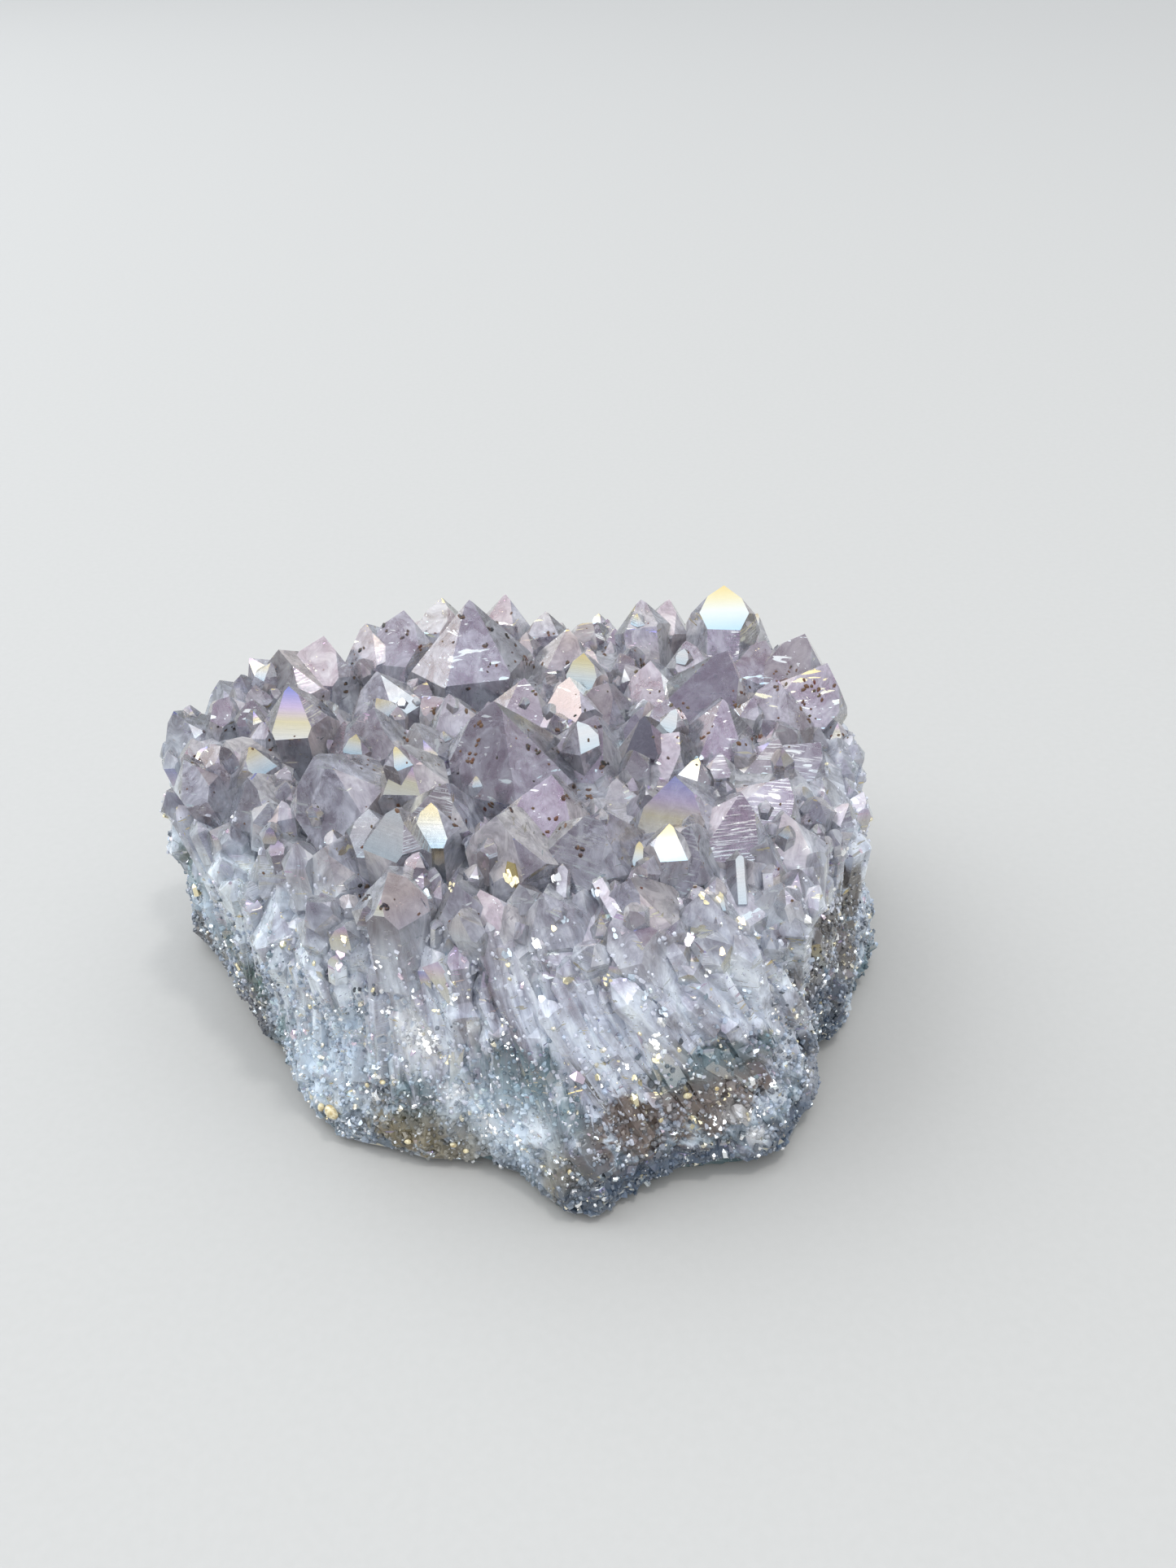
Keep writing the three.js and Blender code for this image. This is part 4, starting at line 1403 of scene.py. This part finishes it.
def lump(chance, place, normal, radius, flatness):
    # corners and faces of a small uneven lump that sits on a surface
    work = bmesh.new()
    bmesh.ops.create_icosphere(work, subdivisions=1, radius=1)
    spin = Matrix.Rotation(chance.uniform(0, fullTurn), 3, "Z")
    turned = normal.to_track_quat("Z", "Y").to_matrix() @ spin
    stretch = chance.uniform(1, 1.8)
    corners = []
    for vertex in work.verts:
        rough = vertex.co * chance.uniform(0.75, 1.15)
        shaped = Vector((rough.x * stretch, rough.y, rough.z * flatness)) * radius
        corners.append(place + turned @ shaped)
    faces = [[vertex.index for vertex in face.verts] for face in work.faces]
    work.free()
    return np.array(corners), faces


def speckMaterial():
    sheet = newSheet("ironSpeck")
    rust = sheet.noise(3000, 2)
    own = sheet.attribute("speckColour", "Color")
    colour = sheet.blend(sheet.range(rust, 0.45, 0.65), own, rgb(0.12, 0.06, 0.03))
    return sheet.finish(sheet.surface(Base_Color=colour, Roughness=sheet.range(rust, 0.3, 0.7, 0.25, 0.6)))


def speckColour(chance, tone):
    return (*[part * chance.uniform(*specks["shade"]) for part in speckTones[tone]], 1)


def makeSpecks():
    chance = random.Random(5)
    parts, colours = [], []
    for across, down, spread, count, tone in speckClusters:
        for _ in range(count):
            seen = (across + chance.gauss(0, spread * 0.6), down + chance.gauss(0, spread * 0.5))
            place, normal, _ = seenAt(quartzTree, *seen)
            if place is None:
                continue
            radius = chance.uniform(*specks["size"]) * mm * (specks["blackSize"] if tone == "black" else 1)
            parts.append(lump(chance, place, normal, radius, specks["flatness"]))
            colours.append(speckColour(chance, tone))
    reach, depth = specks["oval"]
    for _ in range(specks["scattered"]):
        bearing = chance.uniform(0, fullTurn)
        place, normal = seenFromAbove(quartzTree, bearing, math.sqrt(chance.random()) * reach, depth)
        if place is None or place.z < specks["lowest"] * mm:
            continue
        radius = chance.uniform(*specks["size"]) * mm * specks["scatteredSize"]
        parts.append(lump(chance, place, normal, radius, specks["flatness"]))
        tone = chance.choice(["black", "brown", "brown"])
        colours.append(speckColour(chance, tone))
    return addPainted("ironSpecks", parts, colours, "speckColour", speckMaterial())


print("specks:", makeSpecks(), "faces")


# golden grains low on the crust: across, down, radius in millimetres
goldenGrains = [
    (411, 1366, 1.1), (396, 1360, 0.6), (452, 1333, 0.4), (470, 1329, 0.45), (501, 1402, 0.45),
    (558, 1405, 0.5), (573, 1414, 0.4), (600, 1431, 0.4), (845, 1345, 0.5), (880, 1338, 0.35),
    (812, 1375, 0.4), (700, 1440, 0.35),
]


def goldMaterial():
    sheet = newSheet("goldenGrain")
    fine = sheet.noise(1800, 3)
    colour = sheet.ramp(fine, [(0.35, (0.45, 0.33, 0.14)), (0.6, (0.85, 0.76, 0.5))])
    body = sheet.surface(
        Base_Color=colour, Roughness=sheet.range(fine, 0.3, 0.7, 0.12, 0.35),
        Coat_Weight=0.8, Coat_Roughness=0.05,
    )
    return sheet.finish(body)


def makeGoldenGrains():
    chance = random.Random(9)
    parts = []
    for across, down, radius in goldenGrains:
        place, normal, _ = seenAt(quartzTree, across, down)
        if place is not None:
            parts.append(lump(chance, place + normal * radius * 0.4 * mm, normal, radius * mm, 0.8))
    mesh = joinedMesh("goldenGrains", parts)
    piece = addPiece("goldenGrains", mesh, [goldMaterial()], isSmooth=True)
    piece.modifiers.new("smooth", "SUBSURF").render_levels = 1


makeGoldenGrains()
print("golden grains ready")


studio = {
    "floorSize": 60,    # metres
    "aim": (0, 0, 0.03),
    "lights": {         # place, width, depth, power and colour
        "keyLight": ((0.05, -0.95, 0.88), 0.75, 0.6, 1.9, (1, 0.99, 0.97)),
        "fillLight": ((-0.9, 0.5, 0.9), 1.5, 1.5, 13, (0.9, 0.95, 1)),
        "sparkleLight": ((0.3, -0.15, 1.25), 0.13, 0.13, 3.2, (1, 1, 1)),
    },
    "sky": [            # from straight down to straight up
        (0.0, (0.25, 0.25, 0.26)), (0.5, (0.38, 0.39, 0.42)), (0.72, (0.74, 0.78, 0.84)),
        (0.88, (1.35, 1.42, 1.51)), (1.0, (1.6, 1.68, 1.77)),
    ],
}


def floorMaterial():
    sheet = newSheet("paleFloor")
    mottle = sheet.noise(900, 2)
    colour = sheet.ramp(mottle, [(0.3, (0.415, 0.405, 0.385)), (0.7, (0.425, 0.415, 0.395))])
    return sheet.finish(sheet.surface(Base_Color=colour, Roughness=0.7))


def addFloor():
    half = studio["floorSize"] / 2
    mesh = bpy.data.meshes.new("floor")
    corners = [(-half, -half, 0), (half, -half, 0), (half, half, 0), (-half, half, 0)]
    mesh.from_pydata(corners, [], [(0, 1, 2, 3)])
    mesh.materials.append(floorMaterial())
    linked("floor", mesh)


def addSoftbox(name, place, width, depth, power, colour):
    data = bpy.data.lights.new(name, "AREA")
    data.shape = "RECTANGLE"
    data.size = width
    data.size_y = depth
    data.energy = power
    data.color = colour
    light = bpy.data.objects.new(name, data)
    place = Vector(place)
    aim = (Vector(studio["aim"]) - place).to_track_quat("-Z", "Y")
    light.matrix_world = Matrix.Translation(place) @ aim.to_matrix().to_4x4()
    bpy.context.scene.collection.objects.link(light)


def addWorld():
    world = bpy.data.worlds.new("studioWorld")
    sheet = Sheet(world)
    heading = sheet.node("TexCoord", {}, {}, "Generated")
    raised = sheet.node("SeparateXYZ", {}, {"Vector": heading}, "Z") * 0.5 + 0.5
    sky = sheet.node("Background", {}, {"Color": sheet.ramp(raised, studio["sky"])})
    sheet.node("OutputWorld", {}, {"Surface": sky})
    bpy.context.scene.world = world
    bpy.context.scene.view_settings.view_transform = "Standard"


addFloor()
for name, settings in studio["lights"].items():
    addSoftbox(name, *settings)
addWorld()
